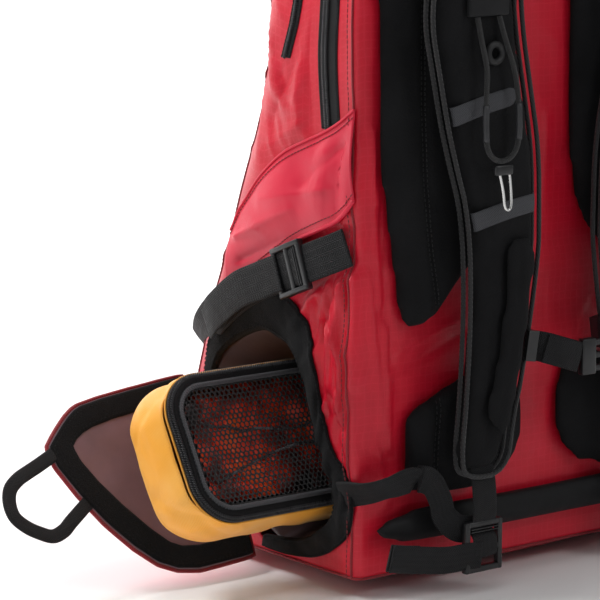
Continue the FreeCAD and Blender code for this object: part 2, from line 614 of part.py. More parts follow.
def slider_body():
    """A zip slider drawn flat: it slides along Z and its back is at X = 0."""
    body = block((0, -SLIDER_WIDE / 2, -SLIDER_LONG / 2), (SLIDER_HIGH, SLIDER_WIDE / 2, SLIDER_LONG / 2))
    upright = [e for e in body.Edges if abs(e.Vertexes[0].X - e.Vertexes[1].X) > SLIDER_HIGH / 2]
    return body.makeFillet(2.0, upright)


def pull_tab():
    """A pull that hangs from the slider's front: its hinge is at X = SLIDER_HIGH + 1.6, Z = 0."""
    x0 = SLIDER_HIGH + 0.4
    tab = block((x0, -PULL_WIDE / 2, -PULL_LONG), (x0 + PULL_THICK, PULL_WIDE / 2, 1.0))
    upright = [e for e in tab.Edges if abs(e.Vertexes[0].X - e.Vertexes[1].X) > PULL_THICK / 2]
    return tab.makeFillet(0.9, upright)


def at(shape, x, y, z):
    moved = shape.copy()
    moved.translate(V(x, y, z))
    return moved


tape_face = HALF_WIDTH + CLOTH + SEW_GAP
for label, y, z in (("main", -26.5, 436.0), ("front", -56.3, 436.0)):
    keep(label + "_zip_slider", at(slider_body(), tape_face, y, z))
    keep(label + "_zip_pull", at(pull_tab(), tape_face, y, z))
POUCH_SLIDER_X = 118.0
pouch_slider = slider_body()
pouch_slider.Placement = FreeCAD.Placement(
    V(POUCH_SLIDER_X, PIPING - SEW_GAP, -PIPING - ZIP_BAND / 2 - 0.4),
    FreeCAD.Rotation(V(0, -1, 0), V(0, 0, -1), V(1, 0, 0), "ZXY"))
keep("pouch_zip_slider", tilted(pouch_slider))

# ---------------------------------------------------------------- store each piece
os.makedirs("parts", exist_ok=True)
for name, shape in nodes.items():
    shape.translate(V(0, -BASE_SHIFT, 0))
    shape.exportStep("parts/" + name + ".step")
print(len(nodes), "nodes")
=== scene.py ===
"""Ski backpack: cloth, foam, webbing and hardware built around the fixed frame."""
import json
import math

import bmesh
import bpy
import numpy as np
from mathutils import Matrix, Vector, noise
from mathutils.bvhtree import BVHTree

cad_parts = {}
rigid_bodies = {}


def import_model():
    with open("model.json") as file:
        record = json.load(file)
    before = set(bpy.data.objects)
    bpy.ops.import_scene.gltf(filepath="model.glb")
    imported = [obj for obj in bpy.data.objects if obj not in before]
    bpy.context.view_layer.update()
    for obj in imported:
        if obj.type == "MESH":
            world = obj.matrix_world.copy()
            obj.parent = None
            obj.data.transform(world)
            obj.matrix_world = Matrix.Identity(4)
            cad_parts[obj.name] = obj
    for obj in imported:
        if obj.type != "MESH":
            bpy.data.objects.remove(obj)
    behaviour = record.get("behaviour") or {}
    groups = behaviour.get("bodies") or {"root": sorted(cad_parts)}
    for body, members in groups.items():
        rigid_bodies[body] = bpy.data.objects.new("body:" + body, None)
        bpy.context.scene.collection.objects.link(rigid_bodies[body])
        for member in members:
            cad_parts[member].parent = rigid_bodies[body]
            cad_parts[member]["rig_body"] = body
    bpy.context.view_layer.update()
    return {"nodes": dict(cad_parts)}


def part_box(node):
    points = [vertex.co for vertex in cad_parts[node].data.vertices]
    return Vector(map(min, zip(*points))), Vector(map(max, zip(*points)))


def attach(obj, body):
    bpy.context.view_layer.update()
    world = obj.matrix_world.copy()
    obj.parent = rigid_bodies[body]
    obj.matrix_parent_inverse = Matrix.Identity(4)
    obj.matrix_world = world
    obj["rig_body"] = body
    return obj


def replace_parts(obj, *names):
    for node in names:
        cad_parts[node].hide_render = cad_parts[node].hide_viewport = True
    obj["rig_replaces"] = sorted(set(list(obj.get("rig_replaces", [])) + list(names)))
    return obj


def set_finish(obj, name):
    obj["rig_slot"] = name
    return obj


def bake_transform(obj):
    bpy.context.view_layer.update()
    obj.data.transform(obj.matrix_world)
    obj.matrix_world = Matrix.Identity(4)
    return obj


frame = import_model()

bl_info = {
    "name": "Ski backpack",
    "version": (1, 0, 0),
    "blender": (4, 5, 0),
    "location": "View3D > Sidebar > Ski backpack",
    "description": "Builds the soft goods and hardware of a ski backpack around its fixed frame",
    "category": "Object",
}

MM = 0.001
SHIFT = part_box("back_panel")[1].y            # the harness side lies at Y = SHIFT
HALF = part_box("side_panel_right")[1].x / MM  # half the bag's width, mm
PAD_FRONT = (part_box("upper_pad_right")[1].y - SHIFT) / MM
STRAP_BACK = (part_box("strap_pad_right")[0].y - SHIFT) / MM
STRAP_FRONT = (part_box("strap_pad_right")[1].y - SHIFT) / MM
SIDE_LOW = 13.0                              # the panels' lower and upper seams, mm
SIDE_HIGH = 488.0
TAU = 2 * math.pi

# Bag outline by height: height, depth, corner radius, all mm.
BAG_STATIONS = ((12, 187, 26), (45, 197, 26), (110, 190, 26), (165, 173, 27), (220, 154, 34), (300, 131, 42),
                (365, 115, 42), (440, 102, 42), (500, 90, 42))
BACK_CORNER = 9.0
BACK_SEAM = -6.0


# ------------------------------------------------------------------ settings
class BackpackSizes(bpy.types.PropertyGroup):
    """Sizes a maker would change."""
    fold_depth: bpy.props.FloatProperty(
        name="Fold depth", description="How deep the shell cloth's folds are",
        default=1.35, min=0.0, max=3.0)
    ripstop_pitch: bpy.props.FloatProperty(
        name="Ripstop pitch", description="Distance between the heavy threads of the shell cloth",
        default=0.0052, unit="LENGTH", subtype="DISTANCE")
    mesh_pitch: bpy.props.FloatProperty(
        name="Mesh pitch", description="Distance between the holes of the pouch's mesh lid",
        default=0.0037, unit="LENGTH", subtype="DISTANCE")
    pad_voxel: bpy.props.FloatProperty(
        name="Pad voxel", description="Voxel size for the foam pads before they are inflated",
        default=0.005, unit="LENGTH", subtype="DISTANCE")
    pad_cap: bpy.props.FloatProperty(
        name="Pad swell limit", description="The furthest a pad's surface may swell",
        default=0.0045, unit="LENGTH", subtype="DISTANCE")


def colour(label, value, description):
    """A colour setting with its label and description."""
    return bpy.props.FloatVectorProperty(
        name=label, description=description, default=value, size=3, min=0.0, max=1.0, subtype="COLOR")


class BackpackColours(bpy.types.PropertyGroup):
    """Cloth and hardware colours."""
    crimson: colour("Crimson", (0.60, 0.004, 0.022), "Ripstop shell cloth")
    crimson_light: colour("Crimson sheen", (0.85, 0.045, 0.10), "Light threads and sheen of the shell cloth")
    twill: colour("Twill", (0.68, 0.010, 0.042), "Wing panels")
    pouch: colour("Pouch", (0.97, 0.40, 0.028), "Pouch walls")
    lining: colour("Lining", (0.25, 0.15, 0.175), "Coated lining of the flap and pocket")
    inner_red: colour("Inner red", (0.90, 0.045, 0.006), "Lining inside the pouch")
    black: colour("Black", (0.0065, 0.0065, 0.0072), "Pads and webbing")
    grey: colour("Grey", (0.055, 0.056, 0.062), "Piping and bands")


def sizes():
    """The size settings."""
    return bpy.context.scene.backpack_sizes


def colours():
    """The colour settings."""
    return bpy.context.scene.backpack_colours


# ------------------------------------------------------------------ points and curves
def metres(points):
    """Millimetres, with Y = 0 on the harness side, to the frame's metres."""
    array = np.asarray(points, float) * MM
    array[..., 1] += SHIFT
    return array


def smooth_by_height(z, stations, column):
    """A value read from the stations at height z, on a smooth curve."""
    heights = np.array([s[0] for s in stations], float)
    values = np.array([s[column] for s in stations], float)
    slopes = np.gradient(values, heights)
    z = np.clip(z, heights[0], heights[-1])
    i = np.clip(np.searchsorted(heights, z) - 1, 0, len(heights) - 2)
    span = heights[i + 1] - heights[i]
    t = (z - heights[i]) / span
    a = (1 + 2 * t) * (1 - t) ** 2 * values[i] + t * (1 - t) ** 2 * span * slopes[i]
    return a + t * t * (3 - 2 * t) * values[i + 1] + t * t * (t - 1) * span * slopes[i + 1]


def rounded(points, closed=False, rounds=3):
    """Corner cutting: a soft outline near the given points."""
    p = np.asarray(points, float)
    for _ in range(rounds):
        if closed:
            q = np.roll(p, -1, 0)
            p = np.stack([p * 0.75 + q * 0.25, p * 0.25 + q * 0.75], 1).reshape(-1, p.shape[1])
        else:
            a, b = p[:-1], p[1:]
            inner = np.stack([a * 0.75 + b * 0.25, a * 0.25 + b * 0.75], 1).reshape(-1, p.shape[1])
            p = np.vstack([p[:1], inner[1:-1], p[-1:]])
    return p


def evenly(points, count, closed=False):
    """The same line with count evenly spaced points."""
    p = np.asarray(points, float)
    if closed:
        p = np.vstack([p, p[:1]])
    gaps = np.linalg.norm(np.diff(p, axis=0), axis=1)
    along = np.concatenate([[0], np.cumsum(gaps)])
    want = np.linspace(0, along[-1], count, endpoint=not closed)
    return np.stack([np.interp(want, along, p[:, k]) for k in range(p.shape[1])], 1)


def through(points, count):
    """A smooth line through the given points, evenly spaced (Catmull-Rom)."""
    p = np.asarray(points, float)
    p = np.vstack([2 * p[0] - p[1], p, 2 * p[-1] - p[-2]])
    line = []
    for i in range(1, len(p) - 2):
        t = np.linspace(0, 1, 16, endpoint=False)[:, None]
        a, b, c, d = p[i - 1], p[i], p[i + 1], p[i + 2]
        line.append(0.5 * (2 * b + (c - a) * t + (2 * a - 5 * b + 4 * c - d) * t ** 2
                           + (3 * b - a - 3 * c + d) * t ** 3))
    line.append(p[-2:-1])
    return evenly(np.vstack(line), count)


def noise_at(points, scale, seed=0.0, octaves=3):
    """Smooth noise from -1 to 1 at points in mm; scale is the size of a lump, mm."""
    flat = np.asarray(points, float).reshape(-1, 3) / scale + seed
    values = [noise.fractal(Vector(p), 1.0, 2.0, octaves) for p in flat]
    return np.array(values).reshape(np.asarray(points).shape[:-1])


def crease(a, b, start, end, width, height):
    """A soft ridge (or, where height is below 0, a valley) between two places in a flat layout."""
    start = np.array(start, float)
    line = np.array(end, float) - start
    length = np.linalg.norm(line)
    line /= length
    along = (a - start[0]) * line[0] + (b - start[1]) * line[1]
    across = (a - start[0]) * -line[1] + (b - start[1]) * line[0]
    fade = np.clip(along / length, 0, 1)
    ends = np.exp(-(np.clip(-along, 0, None) ** 2 + np.clip(along - length, 0, None) ** 2) / width ** 2)
    swell = width * (0.55 + 0.7 * fade)
    shape = 0.55 * np.exp(-np.abs(across) / swell) + 0.45 / (1 + (across / swell) ** 2) ** 1.5
    return height * ends * (1 - 0.35 * fade) * shape


# ------------------------------------------------------------------ mesh making
def link(name, mesh):
    """Put a new mesh in the scene as a piece."""
    piece = bpy.data.objects.new(name, mesh)
    bpy.context.scene.collection.objects.link(piece)
    return piece


def finish_mesh(name, vertices, faces, uv=None, smooth=True):
    """Make a piece from points and faces, with cloth coordinates in metres where given."""
    mesh = bpy.data.meshes.new(name)
    mesh.from_pydata([tuple(v) for v in vertices], [], [tuple(int(i) for i in f) for f in faces])
    if uv is not None:
        layer = mesh.uv_layers.new(name="cloth")
        index = np.zeros(len(mesh.loops), np.int32)
        mesh.loops.foreach_get("vertex_index", index)
        layer.data.foreach_set("uv", np.asarray(uv, np.float32)[index].ravel())
    mesh.polygons.foreach_set("use_smooth", [smooth] * len(mesh.polygons))
    mesh.update()
    return link(name, mesh)


def grid(name, points, uv=None, wrap=False, keep=None, thickness=0.0, outward=1):
    """A piece from a rows x columns array of points in mm. keep masks its faces; uv is in metres."""
    rows, columns = points.shape[:2]
    index = np.arange(rows * columns).reshape(rows, columns)
    right = np.roll(index, -1, 1) if wrap else index[:, 1:]
    left = index if wrap else index[:, :-1]
    faces = np.stack([left[:-1], right[:-1], right[1:], left[1:]], -1).reshape(-1, 4)
    if outward < 0:
        faces = faces[:, ::-1]
    if keep is not None:
        faces = faces[keep.reshape(-1)]
    if uv is None:
        du = np.linalg.norm(np.diff(points, axis=1), axis=2)
        dv = np.linalg.norm(np.diff(points, axis=0), axis=2)
        u = np.concatenate([np.zeros((rows, 1)), np.cumsum(du, 1)], 1)
        v = np.concatenate([np.zeros((1, columns)), np.cumsum(dv, 0)], 0)
        uv = np.stack([u, v], -1) * MM
    vertices = metres(points).reshape(-1, 3)
    used = np.unique(faces)
    renumber = np.zeros(len(vertices), int)
    renumber[used] = np.arange(len(used))
    piece = finish_mesh(name, vertices[used], renumber[faces], uv.reshape(-1, 2)[used])
    if thickness:
        add_thickness(piece, thickness)
    return piece


def add_thickness(piece, thickness, offset=-1.0):
    """Give a sheet its thickness."""
    shell = piece.modifiers.new("cloth thickness", "SOLIDIFY")
    shell.thickness = abs(thickness) * MM
    shell.offset = offset
    apply_modifiers(piece)


def apply_modifiers(piece):
    """Turn the piece's modifiers into its mesh."""
    depsgraph = bpy.context.evaluated_depsgraph_get()
    evaluated = piece.evaluated_get(depsgraph)
    mesh = bpy.data.meshes.new_from_object(evaluated, preserve_all_data_layers=True, depsgraph=depsgraph)
    old = piece.data
    piece.modifiers.clear()
    piece.data = mesh
    mesh.name = piece.name
    bpy.data.meshes.remove(old)


def sweep(name, centres, across, width, thick, count=60, edge=0.35, weave=0.12):
    """Webbing: a flat band with rounded edges along a smooth line. across gives its width direction."""
    line = through(centres, count)
    sides = through(across, count)
    forward = np.gradient(line, axis=0)
    forward /= np.linalg.norm(forward, axis=1)[:, None]
    sides -= forward * (sides * forward).sum(1)[:, None]
    sides /= np.linalg.norm(sides, axis=1)[:, None]
    out = np.cross(forward, sides)
    widths = np.interp(np.linspace(0, 1, count), np.linspace(0, 1, len(np.atleast_1d(width))),
                       np.atleast_1d(width))
    profile = []
    for turn in np.linspace(0, TAU, 20, endpoint=False):
        c, s = math.cos(turn), math.sin(turn)
        profile.append((math.copysign(abs(c) ** edge, c) / 2, math.copysign(abs(s) ** 0.7, s) / 2))
    profile = np.array(profile)
    points = (line[:, None] + sides[:, None] * (profile[:, 0] * 1.0)[None, :, None] * widths[:, None, None]
              + out[:, None] * profile[:, 1][None, :, None] * thick)
    length = np.concatenate([[0], np.cumsum(np.linalg.norm(np.diff(line, axis=0), axis=1))])
    uv = np.stack(np.broadcast_arrays(length[:, None], (profile[:, 0] * np.max(widths))[None]), -1) * MM
    piece = grid(name, points, uv=uv.copy(), wrap=True)
    close_ends(piece)
    return piece


def close_ends(piece):
    """Close the open ends of a tube or band."""
    work = bmesh.new()
    work.from_mesh(piece.data)
    bmesh.ops.holes_fill(work, edges=[e for e in work.edges if e.is_boundary], sides=0)
    bmesh.ops.recalc_face_normals(work, faces=work.faces)
    work.to_mesh(piece.data)
    work.free()


def cord_mesh(name, line, radius, closed=False, around=10):
    """A round cord, piping or wire along a line of points in mm."""
    line = np.asarray(line, float)
    radii = np.broadcast_to(radius, (len(line),))
    ahead = np.roll(line, -1, 0) if closed else np.vstack([line[1:], line[-1:] + 1])
    distinct = np.linalg.norm(ahead - line, axis=1) > 1e-4
    line, radii = line[distinct], radii[distinct]
    if closed:
        forward = np.roll(line, -1, 0) - np.roll(line, 1, 0)
    else:
        forward = np.gradient(line, axis=0)
    doubled = np.linalg.norm(forward, axis=1) < 1e-6
    forward[doubled] = (np.roll(line, -1, 0) - line)[doubled]
    forward /= np.linalg.norm(forward, axis=1)[:, None]
    side = np.zeros_like(line)
    guess = np.array([0.3, 0.2, 0.93])
    for i, step in enumerate(forward):
        guess = guess - step * guess.dot(step)
        guess /= np.linalg.norm(guess)
        side[i] = guess
    up = np.cross(forward, side)
    turn = np.linspace(0, TAU, around, endpoint=False)
    points = line[:, None] + radii[:, None, None] * (
        side[:, None] * np.cos(turn)[None, :, None] + up[:, None] * np.sin(turn)[None, :, None])
    if closed:
        points = np.concatenate([points, points[:1]], 0)
    piece = grid(name, points, wrap=True)
    if closed:
        work = bmesh.new()
        work.from_mesh(piece.data)
        bmesh.ops.remove_doubles(work, verts=work.verts, dist=1e-6)
        work.to_mesh(piece.data)
        work.free()
    else:
        close_ends(piece)
    return piece


def joined(name, parts):
    """Several meshes as one piece."""
    work = bmesh.new()
    for part in parts:
        mesh = part.data
        work.from_mesh(mesh)
        bpy.data.objects.remove(part)
        bpy.data.meshes.remove(mesh)
    mesh = bpy.data.meshes.new(name)
    work.to_mesh(mesh)
    work.free()
    return link(name, mesh)


def moulded(name, boxes, radius, levels=2, shift=None):
    """Moulded plastic: rounded blocks given as (low, high) corners in mm, joined to one piece."""
    parts = []
    shift = SHIFT if shift is None else shift
    for low, high in boxes:
        work = bmesh.new()
        bmesh.ops.create_cube(work, size=1.0)
        low, high = np.array(low, float), np.array(high, float)
        for v in work.verts:
            v.co = Vector(low + (high - low) * (np.array(v.co) + 0.5)) * MM + Vector((0, shift, 0))
        bmesh.ops.bevel(work, geom=work.edges[:] + work.verts[:], offset=radius * MM, segments=levels + 1,
                        affect="EDGES", profile=0.5, clamp_overlap=True)
        for face in work.faces:
            face.smooth = True
        mesh = bpy.data.meshes.new(name)
        work.to_mesh(mesh)
        work.free()
        parts.append(link(name, mesh))
    return joined(name, parts)


def turned(piece, matrix):
    """Move a piece's mesh from its own drawing place to the frame's."""
    piece.data.transform(matrix)
    return piece


def place(x, y, z, rotation=Matrix()):
    """A turn about the origin and then a move given in mm."""
    return Matrix.Translation(Vector(metres((x, y, z)))) @ rotation.to_4x4()


# ------------------------------------------------------------------ materials
class Finish:
    """A small builder for one procedural material."""

    def __init__(self, name, base, roughness, **values):
        self.material = bpy.data.materials.new(name)
        self.material.use_nodes = True
        self.tree = self.material.node_tree
        self.shader = self.tree.nodes["Principled BSDF"]
        self.shader.inputs["Base Color"].default_value = (*base, 1)
        self.shader.inputs["Roughness"].default_value = roughness
        for socket, value in values.items():
            self.shader.inputs[socket.replace("_", " ")].default_value = value

    def node(self, kind, **settings):
        node = self.tree.nodes.new(kind)
        for key, value in settings.items():
            setattr(node, key, value)
        return node

    def link(self, source, target):
        self.tree.links.new(source, target)

    def place(self, scale, space="Object"):
        where = self.node("ShaderNodeTexCoord")
        mapping = self.node("ShaderNodeMapping")
        mapping.inputs["Scale"].default_value = (scale,) * 3 if np.isscalar(scale) else scale
        self.link(where.outputs[space], mapping.inputs["Vector"])
        return mapping.outputs["Vector"]

    def noise(self, scale, detail=3.0, space="Object", rough=0.55):
        node = self.node("ShaderNodeTexNoise")
        node.inputs["Scale"].default_value = 1.0
        node.inputs["Detail"].default_value = detail
        node.inputs["Roughness"].default_value = rough
        self.link(self.place(scale, space), node.inputs["Vector"])
        return node.outputs["Fac"]

    def wave(self, pitch, direction="X", space="UV", distortion=0.0, turn=0.0):
        where = self.node("ShaderNodeTexCoord")
        mapping = self.node("ShaderNodeMapping")
        mapping.inputs["Rotation"].default_value = (0, 0, turn)
        self.link(where.outputs[space], mapping.inputs["Vector"])
        node = self.node("ShaderNodeTexWave", bands_direction=direction)
        node.inputs["Scale"].default_value = TAU / 20.0 / pitch
        node.inputs["Distortion"].default_value = distortion
        node.inputs["Detail"].default_value = 0.0
        self.link(mapping.outputs["Vector"], node.inputs["Vector"])
        return node.outputs["Fac"]

    def math(self, operation, a, b=None, c=None):
        node = self.node("ShaderNodeMath", operation=operation)
        for slot, value in enumerate((a, b, c)):
            if value is None:
                continue
            if isinstance(value, (int, float)):
                node.inputs[slot].default_value = value
            else:
                self.link(value, node.inputs[slot])
        return node.outputs[0]

    def ramp(self, source, stops):
        node = self.node("ShaderNodeValToRGB")
        while len(node.color_ramp.elements) < len(stops):
            node.color_ramp.elements.new(0.5)
        for element, (position, value) in zip(node.color_ramp.elements, stops):
            element.position = position
            element.color = (*value, 1) if len(value) == 3 else value
        self.link(source, node.inputs["Fac"])
        return node.outputs["Color"]

    def mix(self, share, a, b):
        node = self.node("ShaderNodeMix", data_type="RGBA")
        for socket, value in ((node.inputs[0], share), (node.inputs[6], a), (node.inputs[7], b)):
            if hasattr(value, "is_output"):
                self.link(value, socket)
            elif isinstance(value, (int, float)):
                socket.default_value = value
            else:
                socket.default_value = (*value, 1)
        return node.outputs[2]

    def colour(self, source):
        self.link(source, self.shader.inputs["Base Color"])
        return self

    def roughness(self, source, low, high):
        spread = self.node("ShaderNodeMapRange")
        spread.inputs["To Min"].default_value = low
        spread.inputs["To Max"].default_value = high
        self.link(source, spread.inputs["Value"])
        self.link(spread.outputs["Result"], self.shader.inputs["Roughness"])
        return self

    def bump(self, source, distance, strength=1.0):
        node = self.node("ShaderNodeBump")
        node.inputs["Strength"].default_value = strength
        node.inputs["Distance"].default_value = distance
        self.link(source, node.inputs["Height"])
        before = self.shader.inputs["Normal"]
        if before.is_linked:
            self.link(before.links[0].from_socket, node.inputs["Normal"])
        self.link(node.outputs["Normal"], self.shader.inputs["Normal"])
        return self


def shade(value, factor):
    """A lighter or darker tone of a colour."""
    return tuple(min(1.0, c * factor) for c in value)


def ripstop(name, base, light, space="UV"):
    """Thin shiny nylon with a grid of heavier threads."""
    pitch = sizes().ripstop_pitch
    f = Finish(name, base, 0.4, Specular_IOR_Level=0.42, Sheen_Weight=0.04, Sheen_Roughness=0.35,
               Sheen_Tint=(1.0, 0.25, 0.35, 1))
    lines = f.math("MAXIMUM", f.math("GREATER_THAN", f.wave(pitch, "X", space), 0.93),
                   f.math("GREATER_THAN", f.wave(pitch, "Y", space), 0.93))
    tone = f.ramp(f.noise(14, 3), ((0.30, shade(base, 0.82)), (0.55, base), (0.78, shade(base, 1.14))))
    cloth = f.mix(f.math("MULTIPLY", lines, 0.10), tone, light)
    # Lighter patches at random, mixed 6 % towards the crimson sheen colour.
    lighter_patches = f.noise(55, 2)
    cloth = f.mix(f.math("MULTIPLY", f.math("GREATER_THAN", lighter_patches, 0.64), 0.06), cloth, light)
    f.colour(cloth).roughness(f.noise(90, 3), 0.33, 0.50)
    f.bump(lines, 0.00016, 0.55)
    threads = f.math("MULTIPLY", f.wave(0.00062, "X", space), f.wave(0.00062, "Y", space))
    return f.bump(threads, 0.00005, 0.5).bump(f.noise(210, 3), 0.0004, 0.35).material


def twill(name, base, light, space="UV"):
    """Smoother cloth with a slanted weave."""
    f = Finish(name, base, 0.42, Specular_IOR_Level=0.45, Sheen_Weight=0.08, Sheen_Roughness=0.35,
               Sheen_Tint=(1.0, 0.25, 0.35, 1))
    slant = f.wave(0.0013, "X", space, turn=math.radians(38))
    tone = f.ramp(f.noise(16, 3), ((0.3, shade(base, 0.86)), (0.75, shade(base, 1.12))))
    f.colour(f.mix(f.math("MULTIPLY", slant, 0.10), tone, light)).roughness(f.noise(80, 3), 0.34, 0.48)
    return f.bump(slant, 0.00008, 0.5).bump(f.noise(170, 3), 0.0004, 0.3).material


def foam_mesh(name, base):
    """Matt spacer mesh over foam."""
    f = Finish(name, base, 0.8, Specular_IOR_Level=0.14, Sheen_Weight=0.02, Sheen_Roughness=0.5)
    knit = f.node("ShaderNodeTexVoronoi", feature="F1")
    knit.inputs["Scale"].default_value = 1.0
    f.link(f.place(640), knit.inputs["Vector"])
    f.colour(f.ramp(f.noise(24, 4), ((0.3, shade(base, 0.75)), (0.8, shade(base, 1.5)))))
    f.roughness(f.noise(60, 3), 0.72, 0.92)
    return f.bump(knit.outputs["Distance"], 0.00035, 0.6).bump(f.noise(130, 3), 0.0006, 0.35).material


def webbing(name, base, rib=0.0021, across=0.0014):
    """Woven band: slanted ribs that meet in the middle of the band, and a firm edge."""
    f = Finish(name, base, 0.6, Specular_IOR_Level=0.22, Sheen_Weight=0.03, Sheen_Roughness=0.4)
    where = f.node("ShaderNodeTexCoord")
    split = f.node("ShaderNodeSeparateXYZ")
    f.link(where.outputs["UV"], split.inputs["Vector"])
    fold = f.math("PINGPONG", split.outputs["Y"], across * 2)
    slanted = f.math("ADD", split.outputs["X"], fold)
    ribs = f.math("SINE", f.math("MULTIPLY", slanted, TAU / rib))
    threads = f.math("SINE", f.math("MULTIPLY", split.outputs["Y"], TAU / across))
    height = f.math("ADD", f.math("MULTIPLY", ribs, 0.6), f.math("MULTIPLY", threads, 0.3))
    # The colour follows the ribs' height, the same wave as the bump: painted shade in the grooves and
    # painted highlight on the crests.
    f.colour(f.mix(f.math("MULTIPLY_ADD", ribs, 0.3, 0.35), shade(base, 0.5), shade(base, 2.6)))
    f.roughness(f.noise(150, 2), 0.5, 0.72)
    return f.bump(height, 0.00028, 0.9).bump(f.noise(500, 2), 0.0001, 0.4).material


def fuzzy_tape(name, base):
    """Hook or loop tape."""
    f = Finish(name, base, 0.95, Specular_IOR_Level=0.10, Sheen_Weight=0.05, Sheen_Roughness=0.6)
    f.colour(f.ramp(f.noise(900, 3, rough=0.7), ((0.35, shade(base, 0.35)), (0.62, shade(base, 1.2)),
                                                (0.8, shade(base, 5.0)))))
    return f.bump(f.noise(1300, 3, rough=0.75), 0.0009, 0.9).bump(f.noise(120, 2), 0.0006, 0.3).material


def coated_lining(name, base):
    """Waterproof coating on cloth: smooth, a little blotchy."""
    f = Finish(name, base, 0.42, Specular_IOR_Level=0.5, Coat_Weight=0.12, Coat_Roughness=0.35)
    f.colour(f.ramp(f.noise(22, 4), ((0.3, shade(base, 0.8)), (0.55, base), (0.8, shade(base, 1.25)))))
    f.roughness(f.noise(45, 3), 0.32, 0.52)
    weave = f.math("MULTIPLY", f.wave(0.0008, "X"), f.wave(0.0008, "Y"))
    return f.bump(weave, 0.00005, 0.5).bump(f.noise(60, 3), 0.0012, 0.3).material


def pouch_cloth(name, base):
    """Yellow-orange cloth with a fine slanted weave."""
    f = Finish(name, base, 0.45, Specular_IOR_Level=0.45, Sheen_Weight=0.2, Sheen_Roughness=0.4,
               Sheen_Tint=(1.0, 0.9, 0.6, 1))
    slant = f.wave(0.0013, "X", "UV", turn=math.radians(40))
    grain = f.wave(0.00085, "Y", "UV", turn=math.radians(-12))
    tone = f.ramp(f.noise(18, 3), ((0.3, shade(base, 0.84)), (0.5, base), (0.8, (1.0, 0.50, 0.10))))
    f.colour(f.mix(f.math("MULTIPLY", slant, 0.16), tone, (1.0, 0.60, 0.17)))
    f.roughness(f.noise(90, 2), 0.38, 0.52)
    return f.bump(slant, 0.0001, 0.6).bump(grain, 0.00005, 0.4).bump(f.noise(70, 3), 0.0012, 0.3).material


def inner_cloth(name, base):
    """Crumpled orange-red cloth with painted shade, near black where it seems to fall away into folds, and
    painted light on its brightest patches.
    """
    f = Finish(name, base, 0.4, Specular_IOR_Level=0.5)
    # Painted shade and light: random patches go near black as if shaded deep in folds, and others brighter
    # than the cloth as if lit.
    folds = f.ramp(f.noise(34, 3), ((0.36, (0.006, 0.003, 0.003)), (0.47, shade(base, 0.30)), (0.56, base),
                                   (0.70, (1.0, 0.13, 0.012))))
    f.colour(folds).roughness(f.noise(60, 3), 0.3, 0.55)
    return f.bump(f.noise(120, 3), 0.001, 0.4).material


def plastic(name, base, roughness=0.33):
    """Moulded plastic with a fine grain."""
    f = Finish(name, base, roughness, Specular_IOR_Level=0.5)
    f.colour(f.ramp(f.noise(60, 2), ((0.3, shade(base, 0.8)), (0.8, shade(base, 1.35)))))
    f.roughness(f.noise(220, 3), roughness - 0.08, roughness + 0.12)
    return f.bump(f.noise(900, 2), 0.00008, 0.4).material


def metal(name, base, roughness):
    """Bare metal with light scratches."""
    f = Finish(name, base, roughness, Metallic=1.0)
    return f.roughness(f.noise((30, 900, 900), 3), roughness - 0.1, roughness + 0.12).bump(
        f.noise((60, 1500, 1500), 2), 0.00004, 0.4).material


def braided(name, base, pitch=0.0016):
    """Braided cord sheath."""
    f = Finish(name, base, 0.55, Specular_IOR_Level=0.4, Sheen_Weight=0.15)
    strands = f.math("MULTIPLY", f.wave(pitch, "X", "UV", turn=math.radians(45)),
                     f.wave(pitch, "X", "UV", turn=math.radians(-45)))
    # The colour follows the strands' height, the same pattern as the bump: painted shade between the strands
    # and painted highlight on their crests.
    f.colour(f.mix(strands, shade(base, 0.6), shade(base, 2.4))).roughness(f.noise(300, 2), 0.45, 0.7)
    return f.bump(strands, 0.0003, 0.8).material


MATERIALS = {}


